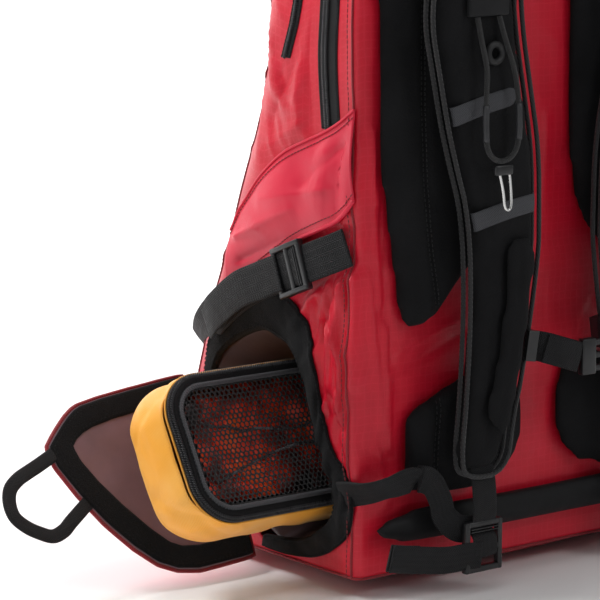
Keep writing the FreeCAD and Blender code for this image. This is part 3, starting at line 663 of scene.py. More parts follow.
def finish_of(name):
    """The named finish, made once."""
    if name not in MATERIALS:
        c = colours()
        makers = {
            "ripstop": lambda: ripstop("shell_ripstop", c.crimson[:], c.crimson_light[:]),
            "base": lambda: ripstop("base_ripstop", shade(c.crimson[:], 0.8), c.crimson_light[:]),
            "twill": lambda: twill("wing_twill", c.twill[:], c.crimson_light[:]),
            "seam": lambda: braided("seam_binding", shade(c.crimson[:], 0.45), 0.0012),
            "pad": lambda: foam_mesh("pad_mesh", c.black[:]),
            "webbing": lambda: webbing("black_webbing", c.black[:]),
            "fine_webbing": lambda: webbing("fine_webbing", shade(c.black[:], 1.3), 0.0014, 0.0009),
            "band": lambda: webbing("grey_band", c.grey[:], 0.0012, 0.0008),
            "knit": lambda: braided("knit_binding", shade(c.black[:], 1.5), 0.0022),
            "tape": lambda: fuzzy_tape("hook_and_loop", c.black[:]),
            "lining": lambda: coated_lining("coated_lining", c.lining[:]),
            # The pocket's liner is the coated lining darkened to 0.18: painted shade inside the pocket.
            "lining_in_painted_shade": lambda: coated_lining("lining_in_painted_shade", shade(c.lining[:], 0.18)),
            "zip_tape": lambda: webbing("zip_tape", shade(c.black[:], 1.2), 0.0011, 0.0007),
            # The coil's grey is painted highlight: the black made 4.5 times lighter so that the coil shows
            # against its tape.
            "coil": lambda: plastic("coil_nylon", shade(c.black[:], 4.5), 0.28),
            "pouch": lambda: pouch_cloth("pouch_cloth", c.pouch[:]),
            "inner_red": lambda: inner_cloth("pouch_inner", c.inner_red[:]),
            "piping": lambda: braided("grey_piping", c.grey[:], 0.0013),
            "mesh": lambda: braided("black_mesh", shade(c.black[:], 0.9), 0.0009),
            "plastic": lambda: plastic("buckle_plastic", shade(c.black[:], 1.7)),
            "rubber": lambda: plastic("pull_rubber", c.black[:], 0.55),
            "sheet_plastic": lambda: plastic("sheet_plastic", shade(c.black[:], 3.0), 0.5),
            "cord": lambda: braided("shock_cord", c.black[:], 0.0017),
            "sleeve": lambda: plastic("cord_sleeve", shade(c.grey[:], 0.5), 0.4),
            "wire": lambda: metal("hook_wire", (0.72, 0.72, 0.71), 0.2),
            "aluminium": lambda: metal("stay_aluminium", (0.80, 0.80, 0.82), 0.32),
        }
        MATERIALS[name] = makers[name]()
    return MATERIALS[name]


def dress(piece, finish, body, slot, *nodes):
    """Give a piece its finish and body, and name the frame nodes it stands for."""
    piece.data.materials.clear()
    piece.data.materials.append(finish_of(finish))
    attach(piece, body)
    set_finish(piece, slot)
    if nodes:
        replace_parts(piece, *nodes)
    return piece


def dress_node(node, finish):
    """A frame node whose shape is right keeps its mesh and takes a better finish."""
    piece = frame["nodes"][node]
    for index in range(max(1, len(piece.material_slots))):
        if not piece.material_slots:
            piece.data.materials.append(None)
        piece.material_slots[index].link = "OBJECT"
        piece.material_slots[index].material = finish_of(finish)


# ------------------------------------------------------------------ bag shell
SIDE_COLUMNS = 96
CORNER_COLUMNS = 20
FRONT_COLUMNS = 96
BACK_COLUMNS = 110

# Folds of the side cloth, drawn in the side plane (Y, Z): start, end, width, height.
SIDE_FOLDS = (
    ((-20, 214), (-62, 172), 5, 4.5), ((-16, 208), (-40, 160), 4.5, -4.0), ((-14, 206), (-24, 120), 5, 4.5),
    ((-10, 212), (-12, 110), 4, -4.0), ((-30, 205), (-80, 192), 4, 3.0), ((-6, 230), (-2, 140), 4, 3.5),
    ((-26, 128), (-8, 60), 4.5, -3.5), ((-18, 130), (0, 66), 4, 3.5), ((-36, 172), (-30, 118), 4, -3.0),
    ((-10, 300), (-18, 250), 5, -2.5), ((-22, 296), (-44, 246), 9, 2.0), ((-42, 352), (-62, 318), 6, 2.5),
    ((-46, 378), (-80, 330), 4, -2.6), ((-52, 420), (-50, 352), 5, 2.4), ((-62, 345), (-90, 300), 7, -2.2),
    ((-14, 470), (-10, 330), 6, 1.8), ((-8, 400), (-14, 340), 4, -1.8), ((-60, 300), (-100, 280), 9, 2.0),
)
LEFT_FOLDS = (
    ((-20, 214), (-70, 150), 9, 3.5), ((-18, 206), (-44, 110), 8, -3.0), ((-14, 204), (-20, 80), 7, 3.2),
    ((-80, 190), (-120, 90), 12, 3.0), ((-50, 150), (-90, 40), 11, -2.6), ((-40, 380), (-70, 300), 10, 2.4),
    ((-60, 440), (-90, 350), 9, -2.2), ((-110, 150), (-60, 30), 12, 2.4), ((-20, 420), (-14, 320), 7, 2.0),
)
# Folds of the front cloth, drawn as (X, Z).
FRONT_FOLDS = (
    ((-90, 470), (-40, 330), 14, 3.0), ((80, 460), (30, 320), 13, -3.0), ((-110, 210), (-20, 180), 12, 3.0),
    ((110, 200), (10, 160), 12, 2.6), ((-60, 120), (40, 70), 16, -2.6), ((70, 110), (-20, 30), 14, 2.4),
    ((-120, 90), (-90, 30), 10, 2.4), ((120, 330), (90, 240), 10, 2.0), ((0, 420), (10, 250), 18, 2.2),
)
# Folds of the harness-side cloth between the pads, drawn as (X, Z).
BACK_FOLDS = (
    ((139, 300), (132, 190), 2.6, 2.0), ((134, 250), (124, 150), 2.8, -1.8), ((128, 175), (124, 96), 3, 2.2),
    ((142, 210), (130, 110), 2.6, 1.8), ((118, 158), (60, 175), 3.4, 1.4),
              ((108, 146), (50, 168), 3.0, -1.2),
    ((134, 96), (126, 60), 3.0, 2.2), ((8, 300), (6, 200), 3.5, 1.2), ((-6, 240), (-8, 160), 3.0, -1.0),
)


def ring(z):
    """The bag's outline at height z: points (X, Y) and outward directions, from the right back seam."""
    depth = float(smooth_by_height(z, BAG_STATIONS, 1))
    radius = float(smooth_by_height(z, BAG_STATIONS, 2))
    half = HALF - 3.0 * max(0.0, (z - 470) / 30) ** 2
    points, outs = [], []

    def run(count, ax, ay, bx, by, out):
        for t in np.linspace(0, 1, count, endpoint=False):
            points.append((ax + (bx - ax) * t, ay + (by - ay) * t))
            outs.append(out)

    def corner(count, cx, cy, r, start, end):
        for t in np.linspace(start, end, count, endpoint=False):
            points.append((cx + r * math.cos(t), cy + r * math.sin(t)))
            outs.append((math.cos(t), math.sin(t)))

    quarter = math.pi / 2
    run(SIDE_COLUMNS, half, BACK_SEAM, half, -depth + radius, (1, 0))
    corner(CORNER_COLUMNS, half - radius, -depth + radius, radius, 0, -quarter)
    run(FRONT_COLUMNS, half - radius, -depth, -half + radius, -depth, (0, -1))
    corner(CORNER_COLUMNS, -half + radius, -depth + radius, radius, -quarter, -2 * quarter)
    run(SIDE_COLUMNS, -half, -depth + radius, -half, BACK_SEAM, (-1, 0))
    b = BACK_CORNER - 3
    run(4, -half, BACK_SEAM, -half, -b, (-1, 0))
    corner(6, -half + b, -b, b, 2 * quarter, quarter)
    run(BACK_COLUMNS, -half + b, 0, half - b, 0, (0, 1))
    corner(6, half - b, -b, b, quarter, 0)
    run(4, half, -b, half, BACK_SEAM, (1, 0))
    return np.array(points), np.array(outs)


def soft_shell(points, outs):
    """Folds and slack of the shell cloth: points moved along their outward directions."""
    depth = sizes().fold_depth
    x, y, z = points[..., 0], points[..., 1], points[..., 2]
    right = np.clip(outs[..., 0], 0, 1)
    left = np.clip(-outs[..., 0], 0, 1)
    front = np.clip(-outs[..., 1], 0, 1)
    back = np.clip(outs[..., 1], 0, 1)
    move = np.zeros_like(x)
    for fold in SIDE_FOLDS:
        move += right * crease(y, z, *fold)
    for fold in LEFT_FOLDS:
        move += left * crease(y, z, *fold)
    for fold in FRONT_FOLDS:
        move += front * crease(x, z, *fold)
    for fold in BACK_FOLDS:
        move += back * (crease(x, z, *fold) + crease(-x, z, *fold))
    move += 5.0 * front * np.exp(-((z - 150) / 110) ** 2) * np.cos(np.clip(x / HALF, -1, 1) * math.pi / 2)
    move += 3.0 * (right + left) * np.exp(-(((y + 78) / 34) ** 2 + ((z - 250) / 26) ** 2))
    move += 2.5 * (right + left) * np.exp(-(((y + 62) / 26) ** 2 + ((z - 345) / 40) ** 2))
    pulled = np.exp(-(((y + 20) / 26) ** 2 + ((z - 150) / 95) ** 2))
    upright = 1 - 2 * np.abs(noise_at(points * np.array([1, 1, 0.22]), 15, 2.0, 2))
    move += (right + left) * pulled * 4.2 * upright * np.abs(upright)
    slanted = points[..., 1] * 0.8 + points[..., 2] * 0.35
    pleats = 1 - 2 * np.abs(noise_at(np.stack([slanted, points[..., 2] * 0.18, points[..., 0] * 0.5], -1),
                                     22, 8.0, 2))
    move += (1 - 0.8 * back) * np.clip((z - 250) / 60, 0, 1) * 1.2 * pleats ** 3
    crumple = noise_at(points * np.array([1, 1, 0.5]), 60, 4.0, 2)
    ridged = 1 - 2 * np.abs(noise_at(points * np.array([1, 1, 0.6]), 64, 9.0, 1))
    move += (1 - 0.65 * back) * (1.9 * crumple + 1.5 * ridged ** 5)
    for line, reach_out in ((MAIN_ZIP_LEFT, 9.0), (MAIN_ZIP_RIGHT, 9.0), (FRONT_ZIP, 8.0)):
        track = np.array(line, float)
        near = np.abs(y - np.interp(z, track[:, 1], track[:, 0])) + np.clip(track[0, 1] - z, 0, None)
        flat_here = 1 - np.clip((near - reach_out) / 12, 0, 1)
        move = move * (1 - right * flat_here) - 0.35 * right * flat_here
    strap_line = np.interp(y, (-160, -104, -55, -39, -27, 0), (154, 189, 209, 214.3, 219, 231))
    under_strap = (right + left) * (1 - np.clip((np.abs(z - strap_line) - 12) / 10, 0, 1)) * (y > -75)
    move = move * (1 - under_strap) - 1.0 * under_strap
    move = move * np.clip((z - 12) / 20, 0.15, 1) * np.clip((490 - z) / 14, 0.2, 1)
    return points + np.concatenate([outs * (move * depth)[..., None], np.zeros_like(x)[..., None]], -1)


def mouth_mask(y, z, grow=6.0):
    """True inside the pocket's mouth, grown a little so that the loop tape covers the cut edge."""
    outline = np.array(MOUTH, float)
    centre = outline.mean(0)
    outline = centre + (outline - centre) * (1 + grow / 70)
    inside = np.zeros(y.shape, bool)
    for (ay, az), (by, bz) in zip(outline, np.roll(outline, -1, 0)):
        if az == bz:
            continue
        crosses = ((az > z) != (bz > z)) & (y < (by - ay) * (z - az) / (bz - az) + ay)
        inside ^= crosses
    return inside


MOUTH = ((-97, 24), (-60, 27), (-36, 39), (-22, 53), (-23, 68), (-31, 81), (-41, 99), (-51, 122),
         (-59, 142), (-69, 153), (-86, 159), (-104, 162), (-143, 142), (-157, 117))
TAPE_EDGE = ((-99, 16), (-84, 15), (-48, 17), (-22, 27), (-4, 45), (-2, 66), (-11, 79), (-27, 95),
             (-36, 124),
             (-43, 158), (-50, 178), (-69, 187), (-93, 189), (-128, 180), (-156, 150), (-163, 122))
SHELL = {}


def shell_points():
    """The whole soft shell, made once: rows by height, columns round the bag."""
    if "points" not in SHELL:
        heights = np.linspace(SIDE_LOW, SIDE_HIGH, 216)
        rows = [ring(z) for z in heights]
        flat = np.array([r[0] for r in rows])
        outs = np.array([r[1] for r in rows])
        z = np.broadcast_to(heights[:, None], flat.shape[:2])
        SHELL["points"] = soft_shell(np.concatenate([flat, z[..., None]], -1), outs)
        SHELL["outs"] = outs
    return SHELL["points"], SHELL["outs"]


def crown(name, rim, top, steps, power):
    """Top or bottom: rings that close in from the rim towards the middle."""
    centre = rim.mean(0)
    turn = np.arctan2(rim[:, 1] - centre[1], rim[:, 0] - centre[0])
    half_x, half_y = np.ptp(rim[:, 0]) / 2, np.ptp(rim[:, 1]) / 2
    oval = np.stack([half_x * np.cos(turn), half_x * np.sin(turn), 0 * turn], 1)
    oval *= (1 / np.hypot(np.cos(turn), np.sin(turn) * half_x / half_y))[:, None]
    rows = []
    for t in np.linspace(0, 1, steps):
        shrink = 1 - 0.985 * t
        blend = min(1.0, 1.6 * t)
        row = centre + ((rim - centre) * (1 - blend) + oval * blend) * np.array([shrink, shrink, 0])
        row[:, 2] = rim[:, 2] + (top - rim[:, 2]) * math.sin(min(1.0, t * power) * math.pi / 2)
        rows.append(row)
    points = np.array(rows)
    points[1:, :, 2] += noise_at(points[1:], 45, 2.0, 2) * 1.2 * np.sign(top - rim[:, 2].mean())
    return grid(name, points, wrap=True, outward=-1 if top > rim[:, 2].mean() else 1, thickness=0.9)


def surface_at(y, z):
    """Point and direction on the right-hand shell at (Y, Z), from outside."""
    if "tree" not in SHELL:
        points, _ = shell_points()
        used = points[:, :SIDE_COLUMNS + CORNER_COLUMNS + 30]
        rows, columns = used.shape[:2]
        index = np.arange(rows * columns).reshape(rows, columns)
        faces = np.stack([index[:-1, :-1], index[:-1, 1:], index[1:, 1:], index[1:, :-1]], -1).reshape(-1, 4)
        SHELL["tree"] = BVHTree.FromPolygons([tuple(p) for p in used.reshape(-1, 3)],
                                             [tuple(f) for f in faces.tolist()])
    hit, normal, _, _ = SHELL["tree"].ray_cast(Vector((400, y, z)), Vector((-1, 0, 0)))
    if hit is None:
        return np.array((HALF, y, z)), np.array((1.0, 0, 0))
    normal = np.array(normal)
    return np.array(hit), normal * (1 if normal[0] > 0 else -1)


def draped(points, lift, smoothing=0.0):
    """(Y, Z) points laid on the right-hand shell, lifted off it; smoothing evens the direction to +X."""
    flat = np.asarray(points, float)
    lifts = np.broadcast_to(lift, flat.shape[:-1])
    out = np.zeros(flat.shape[:-1] + (3,))
    for where in np.ndindex(flat.shape[:-1]):
        hit, normal = surface_at(*flat[where])
        normal = normal * (1 - smoothing) + np.array((smoothing, 0, 0))
        out[where] = hit + normal / np.linalg.norm(normal) * lifts[where]
    return out


def between(line_a, line_b, across):
    """Rows of points from one line to the other."""
    share = np.linspace(0, 1, across)[:, None, None]
    return np.asarray(line_a)[None] * (1 - share) + np.asarray(line_b)[None] * share


def flipped(name, piece):
    """The mirror of a piece on the wearer's left."""
    twin = piece.copy()
    twin.data = piece.data.copy()
    twin.name = name
    twin.data.transform(Matrix.Scale(-1, 4, Vector((1, 0, 0))))
    twin.data.flip_normals()
    bpy.context.scene.collection.objects.link(twin)
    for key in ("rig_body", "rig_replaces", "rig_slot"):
        if key in twin:
            del twin[key]
    return twin


# ------------------------------------------------------------------ foam pads
def outline_mesh(name, outline, low, high, around=150):
    """A closed flat block from an (X, Z) outline in mm, from Y = low to Y = high."""
    line = evenly(rounded(outline, True, 2), around, True)
    if area_of(line) < 0:
        line = line[::-1]
    work = bmesh.new()
    rings = []
    for y in (low, high):
        points = metres(np.stack([line[:, 0], np.full(len(line), y), line[:, 1]], 1))
        rings.append([work.verts.new(Vector(p)) for p in points])
    work.faces.new(rings[0])
    work.faces.new(rings[1][::-1])
    for i in range(len(line)):
        j = (i + 1) % len(line)
        work.faces.new((rings[0][i], rings[0][j], rings[1][j], rings[1][i]))
    bmesh.ops.recalc_face_normals(work, faces=work.faces)
    bmesh.ops.triangulate(work, faces=work.faces)
    mesh = bpy.data.meshes.new(name)
    work.to_mesh(mesh)
    work.free()
    return link(name, mesh)


def area_of(line):
    """Signed area of a flat outline: above 0 where it runs anticlockwise."""
    following = np.roll(line, -1, 0)
    return 0.5 * float((line[:, 0] * following[:, 1] - following[:, 0] * line[:, 1]).sum())


def coordinates(mesh):
    """The mesh's points as an array."""
    flat = np.empty(len(mesh.vertices) * 3)
    mesh.vertices.foreach_get("co", flat)
    return flat.reshape(-1, 3)


def store(mesh, points):
    """Write the points back into the mesh."""
    mesh.vertices.foreach_set("co", np.ascontiguousarray(points).ravel())
    mesh.update()


def inflate(piece, cap):
    """Remesh a pad and let cloth pressure swell it, no point moving further than cap mm."""
    remesh = piece.modifiers.new("remesh", "REMESH")
    remesh.mode = "VOXEL"
    remesh.voxel_size = sizes().pad_voxel
    apply_modifiers(piece)
    soften_mesh(piece, 2)
    before = coordinates(piece.data)
    scene = bpy.context.scene
    cloth = piece.modifiers.new("pressure", "CLOTH")
    cloth.settings.use_pressure = True
    cloth.settings.uniform_pressure_force = 4.0
    cloth.settings.effector_weights.gravity = 0.0
    cloth.point_cache.frame_start = 1
    cloth.point_cache.frame_end = 20
    for step in range(1, 21):
        scene.frame_set(step)
    apply_modifiers(piece)
    scene.frame_set(1)
    moved = coordinates(piece.data) - before
    far = np.linalg.norm(moved, axis=1)[:, None]
    moved *= np.minimum(1.0, cap * MM / np.maximum(far, 1e-9))
    store(piece.data, before + moved)
    soften_mesh(piece, 2)
    divide = piece.modifiers.new("divide", "SUBSURF")
    divide.levels = 1
    apply_modifiers(piece)


def soften_mesh(piece, times):
    """Smooth the mesh a few times."""
    work = bmesh.new()
    work.from_mesh(piece.data)
    for _ in range(times):
        bmesh.ops.smooth_vert(work, verts=work.verts, factor=0.5, use_axis_x=True, use_axis_y=True,
                              use_axis_z=True)
    work.to_mesh(piece.data)
    work.free()


def distance_to(points, line):
    """Shortest distance from points (n x 2) to a line of points (m x 2)."""
    best = np.full(len(points), 1e9)
    for a, b in zip(line[:-1], line[1:]):
        step = b - a
        t = np.clip(((points - a) @ step) / max(step @ step, 1e-9), 0, 1)
        best = np.minimum(best, np.linalg.norm(points - a - t[:, None] * step, axis=1))
    return best


def sewn_pad(name, outline, low, high, cap, stitches=(), depth=2.2, wide=3.5):
    """An inflated foam pad with stitched grooves on its front face, kept between low and high in Y."""
    piece = outline_mesh(name, outline, low + 1.0, high - cap * 0.75)
    inflate(piece, cap)
    points = coordinates(piece.data)
    y = (points[:, 1] - SHIFT) / MM
    flat = points[:, (0, 2)] / MM
    front = np.clip((y - (low + high) / 2) / ((high - low) / 2), 0, 1)
    for line in stitches:
        groove = np.exp(-(distance_to(flat, np.array(line, float)) / wide) ** 2)
        y -= front * depth * groove
    y += front * 0.7 * noise_at(np.stack([flat[:, 0], np.zeros(len(y)), flat[:, 1]], 1), 40, 6.0, 2)
    points[:, 1] = np.clip(y, low + 0.1, high) * MM + SHIFT
    store(piece.data, points)
    piece.data.polygons.foreach_set("use_smooth", [True] * len(piece.data.polygons))
    return piece


def stitch_row(name, line, out, pitch=3.2, length=2.2, radius=0.33):
    """A row of thread stitches along a line of points in mm, standing along out."""
    line = evenly(line, max(2, int(np.linalg.norm(np.diff(line, axis=0), axis=1).sum() / pitch)))
    out = np.broadcast_to(np.asarray(out, float), line.shape)
    parts, faces, count = [], [], 0
    ring_turn = np.linspace(0, TAU, 6, endpoint=False)
    for a, b, normal in zip(line[:-1], line[1:], out):
        step = b - a
        step = step / max(np.linalg.norm(step), 1e-9)
        side = np.cross(step, normal)
        middle = (a + b) / 2
        for share in (-0.5, -0.25, 0.25, 0.5):
            lift = 0.25 if abs(share) < 0.4 else -0.25
            centre = middle + step * share * length + normal * lift
            around = np.cos(ring_turn)[:, None] * side + np.sin(ring_turn)[:, None] * normal
            parts.append(centre + radius * around)
        for k in range(3):
            base = count + k * 6
            for j in range(6):
                faces.append((base + j, base + (j + 1) % 6, base + 6 + (j + 1) % 6, base + 6 + j))
        count += 24
    return finish_mesh(name, metres(np.vstack(parts)), faces)


# ------------------------------------------------------------------ stage
# Name, azimuth and elevation in degrees, distance and size in metres, power in watts.
SOFT_LIGHTS = (("key", 46, 50, 1.9, 0.55, 24), ("side", 112, 14, 1.8, 1.0, 2.5),
               ("top", 150, 80, 2.0, 0.9, 6), ("behind", -60, 40, 2.2, 1.4, 13),
               ("harness", 208, 34, 2.3, 0.8, 8))
VIEW_TARGET = (149.0, -60.0, 186.6)          # the middle of the view, mm
VIEW_SIDE = (0.6063, 0.7760, 0.1736)         # from the target towards the camera
VIEW_DISTANCE = 2.0                          # metres
LENS = 186.0                                 # focal length, mm
FLOOR_HALF = 8                               # half the floor's width, metres


class StageOperator(bpy.types.Operator):
    """Lay the pale floor and set the soft lights and the camera."""
    bl_idname = "backpack.stage"
    bl_label = "Stage"

    def execute(self, context):
        work = bmesh.new()
        steps = 24
        rows = []
        for y, z in [(9.0, 0.0), (2.6, 0.0), (0.6, 0.0), (-1.2, 0.0), (-3.4, 0.0)]:
            rows.append([work.verts.new((x, y, z)) for x in np.linspace(-FLOOR_HALF, FLOOR_HALF, steps)])
        for turn in np.linspace(0.15, 1.0, 9):
            y, z = -3.4 - 0.9 * math.sin(turn * math.pi / 2), 0.9 * (1 - math.cos(turn * math.pi / 2))
            rows.append([work.verts.new((x, y, z)) for x in np.linspace(-FLOOR_HALF, FLOOR_HALF, steps)])
        rows.append([work.verts.new((x, -4.3, 4.0)) for x in np.linspace(-FLOOR_HALF, FLOOR_HALF, steps)])
        for a, b in zip(rows[:-1], rows[1:]):
            for i in range(steps - 1):
                face = work.faces.new((a[i], a[i + 1], b[i + 1], b[i]))
                face.smooth = True
        mesh = bpy.data.meshes.new("floor")
        work.to_mesh(mesh)
        work.free()
        floor = link("floor", mesh)
        paper = Finish("paper", (0.90, 0.90, 0.90), 0.75, Specular_IOR_Level=0.2)
        paper.colour(paper.ramp(paper.noise(3, 2), ((0.2, (0.885,) * 3), (0.8, (0.915,) * 3))))
        paper.bump(paper.noise(260, 2), 0.0002, 0.15)
        floor.data.materials.append(paper.material)
        context.scene.view_settings.view_transform = "Standard"

        world = bpy.data.worlds.new("studio")
        world.use_nodes = True
        world.node_tree.nodes["Background"].inputs[0].default_value = (1.0, 1.0, 1.0, 1)
        world.node_tree.nodes["Background"].inputs[1].default_value = 0.2
        context.scene.world = world

        target = Vector(metres(VIEW_TARGET))
        for name, azimuth, elevation, away, size, energy in SOFT_LIGHTS:
            lamp = bpy.data.lights.new(name, "AREA")
            lamp.shape = "SQUARE"
            lamp.size = size
            lamp.energy = energy
            a, e = math.radians(azimuth), math.radians(elevation)
            direction = Vector((math.sin(a) * math.cos(e), -math.cos(a) * math.cos(e), math.sin(e)))
            light = bpy.data.objects.new(name, lamp)
            light.location = target + direction * away
            light.rotation_mode = "QUATERNION"
            light.rotation_quaternion = (-direction).to_track_quat("-Z", "Y")
            context.scene.collection.objects.link(light)

        wash = bpy.data.lights.new("backdrop", "AREA")
        wash.shape = "RECTANGLE"
        wash.size, wash.size_y = 4.5, 1.2
        wash.energy = 150
        light = bpy.data.objects.new("backdrop", wash)
        light.location = (-0.6, -2.0, 2.3)
        light.rotation_mode = "QUATERNION"
        light.rotation_quaternion = Vector((0.0, 0.62, 0.78)).to_track_quat("Z", "Y")
        context.scene.collection.objects.link(light)

        lens = bpy.data.cameras.new("camera")
        lens.lens = LENS
        lens.sensor_width = 36.0
        lens.clip_start, lens.clip_end = 0.05, 50.0
        camera = bpy.data.objects.new("camera", lens)
        toward = Vector(VIEW_SIDE)
        camera.location = target + toward * VIEW_DISTANCE
        camera.rotation_mode = "QUATERNION"
        camera.rotation_quaternion = toward.to_track_quat("Z", "Y")
        context.scene.collection.objects.link(camera)
        context.scene.camera = camera
        return {"FINISHED"}


# ------------------------------------------------------------------ shock cord on the strap
CORD_ROUTE = ((86, 39, 372), (85, 42, 356), (81, 43.5, 340), (82.6, 44, 322), (83, 44.5, 304),
              (82.25, 44.5, 289),
              (74.5, 44.5, 281.2), (63.5, 44.5, 281.2), (55.75, 44.5, 289), (55, 44.5, 304), (55.5, 44, 322),
              (59, 43.5, 340), (65, 42, 356), (68, 39, 372))
HOOK_ROUTE = ((72.5, 44.5, 276.5), (68, 44.5, 264), (66.8, 44.5, 249.5), (61.0, 44.5, 249.5),
              (61.6, 44.5, 264), (63.5, 44.5, 276.5))


def route_curve(name, route, diameter):
    """A smooth curve of one spline with the route's points as its control points."""
    data = bpy.data.curves.new(name, "CURVE")
    data.dimensions = "3D"
    spline = data.splines.new("NURBS")
    points = metres(route)
    spline.points.add(len(points) - 1)
    for point, place_at in zip(spline.points, points):
        point.co = (*place_at, 1.0)
    spline.order_u = 3
    spline.use_endpoint_u = True
    spline.resolution_u = 12
    data.bevel_depth = diameter * MM / 2
    data.bevel_resolution = 5
    data.use_fill_caps = True
    piece = bpy.data.objects.new(name, data)
    bpy.context.scene.collection.objects.link(piece)
    return piece


class CordOperator(bpy.types.Operator):
    """The shock cord's loop on the shoulder strap, its stop ring, sleeves and wire hook."""
    bl_idname = "backpack.cord"
    bl_label = "Shock cord and hook"

    def execute(self, context):
        body = "shoulder_strap_right"
        cord = dress(route_curve("strap_cord", CORD_ROUTE, 3.5), "cord", body, "cord", "shock_cord")
        turn = np.linspace(0, TAU, 48, endpoint=False)
        ring_line = np.stack([71.5 + 5.6 * np.cos(turn), np.full(48, STRAP_FRONT + 3.4),
                              349 + 5.6 * np.sin(turn)], 1)
        stop = dress(cord_mesh("strap_cord_ring", ring_line, 2.2, closed=True, around=16), "rubber", body,
                     "cord", "cord_ring")
        hook = dress(route_curve("strap_wire_hook", HOOK_ROUTE, 2.0), "wire", body, "wire", "wire_hook")
        sleeves = []
        for side, (low, high) in (("outer", (3, 5)), ("inner", (8, 10))):
            line = through(np.array(CORD_ROUTE, float)[low:high + 1], 14)[2:-2]
            sleeves.append(cord_mesh("sleeve_" + side, line, 2.1, around=14))
        grips = dress(joined("strap_cord_sleeves", sleeves), "sleeve", body, "cord")
        tip = dress(moulded("strap_hook_grip", [((60.5, 42.8, 272), (75.5, 46.2, 279))], 1.5), "plastic",
                    body, "buckle_plastic")
        tuple(metres(CORD_ROUTE[0]))
        patch = moulded("strap_cord_tab", [((60.5, STRAP_FRONT + 0.2, 372.5),
                                            (93.5, STRAP_FRONT + 4.6, 391.5))], 1.6)
        dress(patch, "fine_webbing", body, "webbing", "cord_tab")
        return {"FINISHED"}


# ------------------------------------------------------------------ bag
class BagOperator(bpy.types.Operator):
    """The sagging shell: sides, front, harness side, crown and base."""
    bl_idname = "backpack.bag"
    bl_label = "Bag shell"

    def execute(self, context):
        points = shell_points()[0]
        first = SIDE_COLUMNS + CORNER_COLUMNS // 2
        second = first + FRONT_COLUMNS + CORNER_COLUMNS
        third = second + CORNER_COLUMNS // 2 + SIDE_COLUMNS
        spans = (("side_right", "ripstop", slice(0, first + 1), ("side_panel_right",)),
                 ("front", "ripstop", slice(first, second + 1), ("front_panel",)),
                 ("side_left", "ripstop", slice(second, third + 1), ("side_panel_left",)),
                 ("harness_side", "ripstop", None, ("back_panel",)))
        for name, finish, span, nodes in spans:
            if span is None:
                part = np.concatenate([points[:, third:], points[:, :1]], 1)
            else:
                part = points[:, span]
            keep = None
            if name == "side_right":
                y = (part[:-1, :-1, 1] + part[1:, 1:, 1]) / 2
                z = (part[:-1, :-1, 2] + part[1:, 1:, 2]) / 2
                keep = ~mouth_mask(y, z)
            panel = grid(name, part, keep=keep, thickness=0.9, outward=-1)
            dress(panel, finish, "bag", "ripstop", *nodes)
        top = crown("crown", points[-1], 519.0, 26, 1.0)
        dress(top, "ripstop", "bag", "ripstop", "top_panel")
        base = crown("base", points[0], 0.4, 24, 2.3)
        flat = coordinates(base.data)
        flat[:, 2] = np.maximum(flat[:, 2], 0.0002)
        store(base.data, flat)
        dress(base, "base", "bag", "base_cloth", "bottom_panel")
        self.seams(points)
        return {"FINISHED"}

    def seams(self, points):
        rows = points.shape[0]
        first = SIDE_COLUMNS + CORNER_COLUMNS // 2
        second = first + FRONT_COLUMNS + CORNER_COLUMNS
        third = second + CORNER_COLUMNS // 2 + SIDE_COLUMNS
        lines = []
        for column, out in ((0, (0.5, 0.9, 0)), (third, (-0.5, 0.9, 0)), (first, (0.7, -0.7, 0)),
                            (second, (-0.7, -0.7, 0))):
            lines.append((points[:, column], np.array(out)))
        tubes, rows_of_stitches = [], []
        for line, out in lines:
            tubes.append(cord_mesh("seam", line + out * 0.25, 0.9, around=8))
            across = np.array((-out[1], out[0], 0.0))
            for side in (-1, 1):
                rows_of_stitches.append(stitch_row("stitch", line + across * 3.2 * side + out * 0.35, out))
        for row, lift in ((0, 0.2), (rows - 1, 0.2)):
            line = points[row] + np.array((0, 0, lift if row else -lift))
            tubes.append(cord_mesh("seam", line, 0.9, closed=True, around=8))
        dress(joined("shell_seams", tubes), "seam", "bag", "ripstop")
        dress(joined("shell_stitching", rows_of_stitches), "seam", "bag", "ripstop")


# ------------------------------------------------------------------ side details
WING_TOP = ((-2, 315), (-21, 303), (-41, 294.5), (-70, 283.5), (-94, 265), (-108, 251), (-122, 236),
            (-131, 224))
WING_LOW = ((-2, 258), (-14, 244), (-39, 234.5), (-60, 225.5), (-94, 207), (-115, 194.5), (-126, 189),
            (-136, 185))
FRONT_ZIP = ((-75, 342), (-60, 380), (-56, 450), (-54, 484))
MAIN_ZIP_LEFT = ((-38, 300), (-42.5, 343), (-40, 372), (-38, 400), (-33, 484))
MAIN_ZIP_RIGHT = ((-19, 300), (-23, 343), (-21, 372), (-18.5, 400), (-13.5, 484))


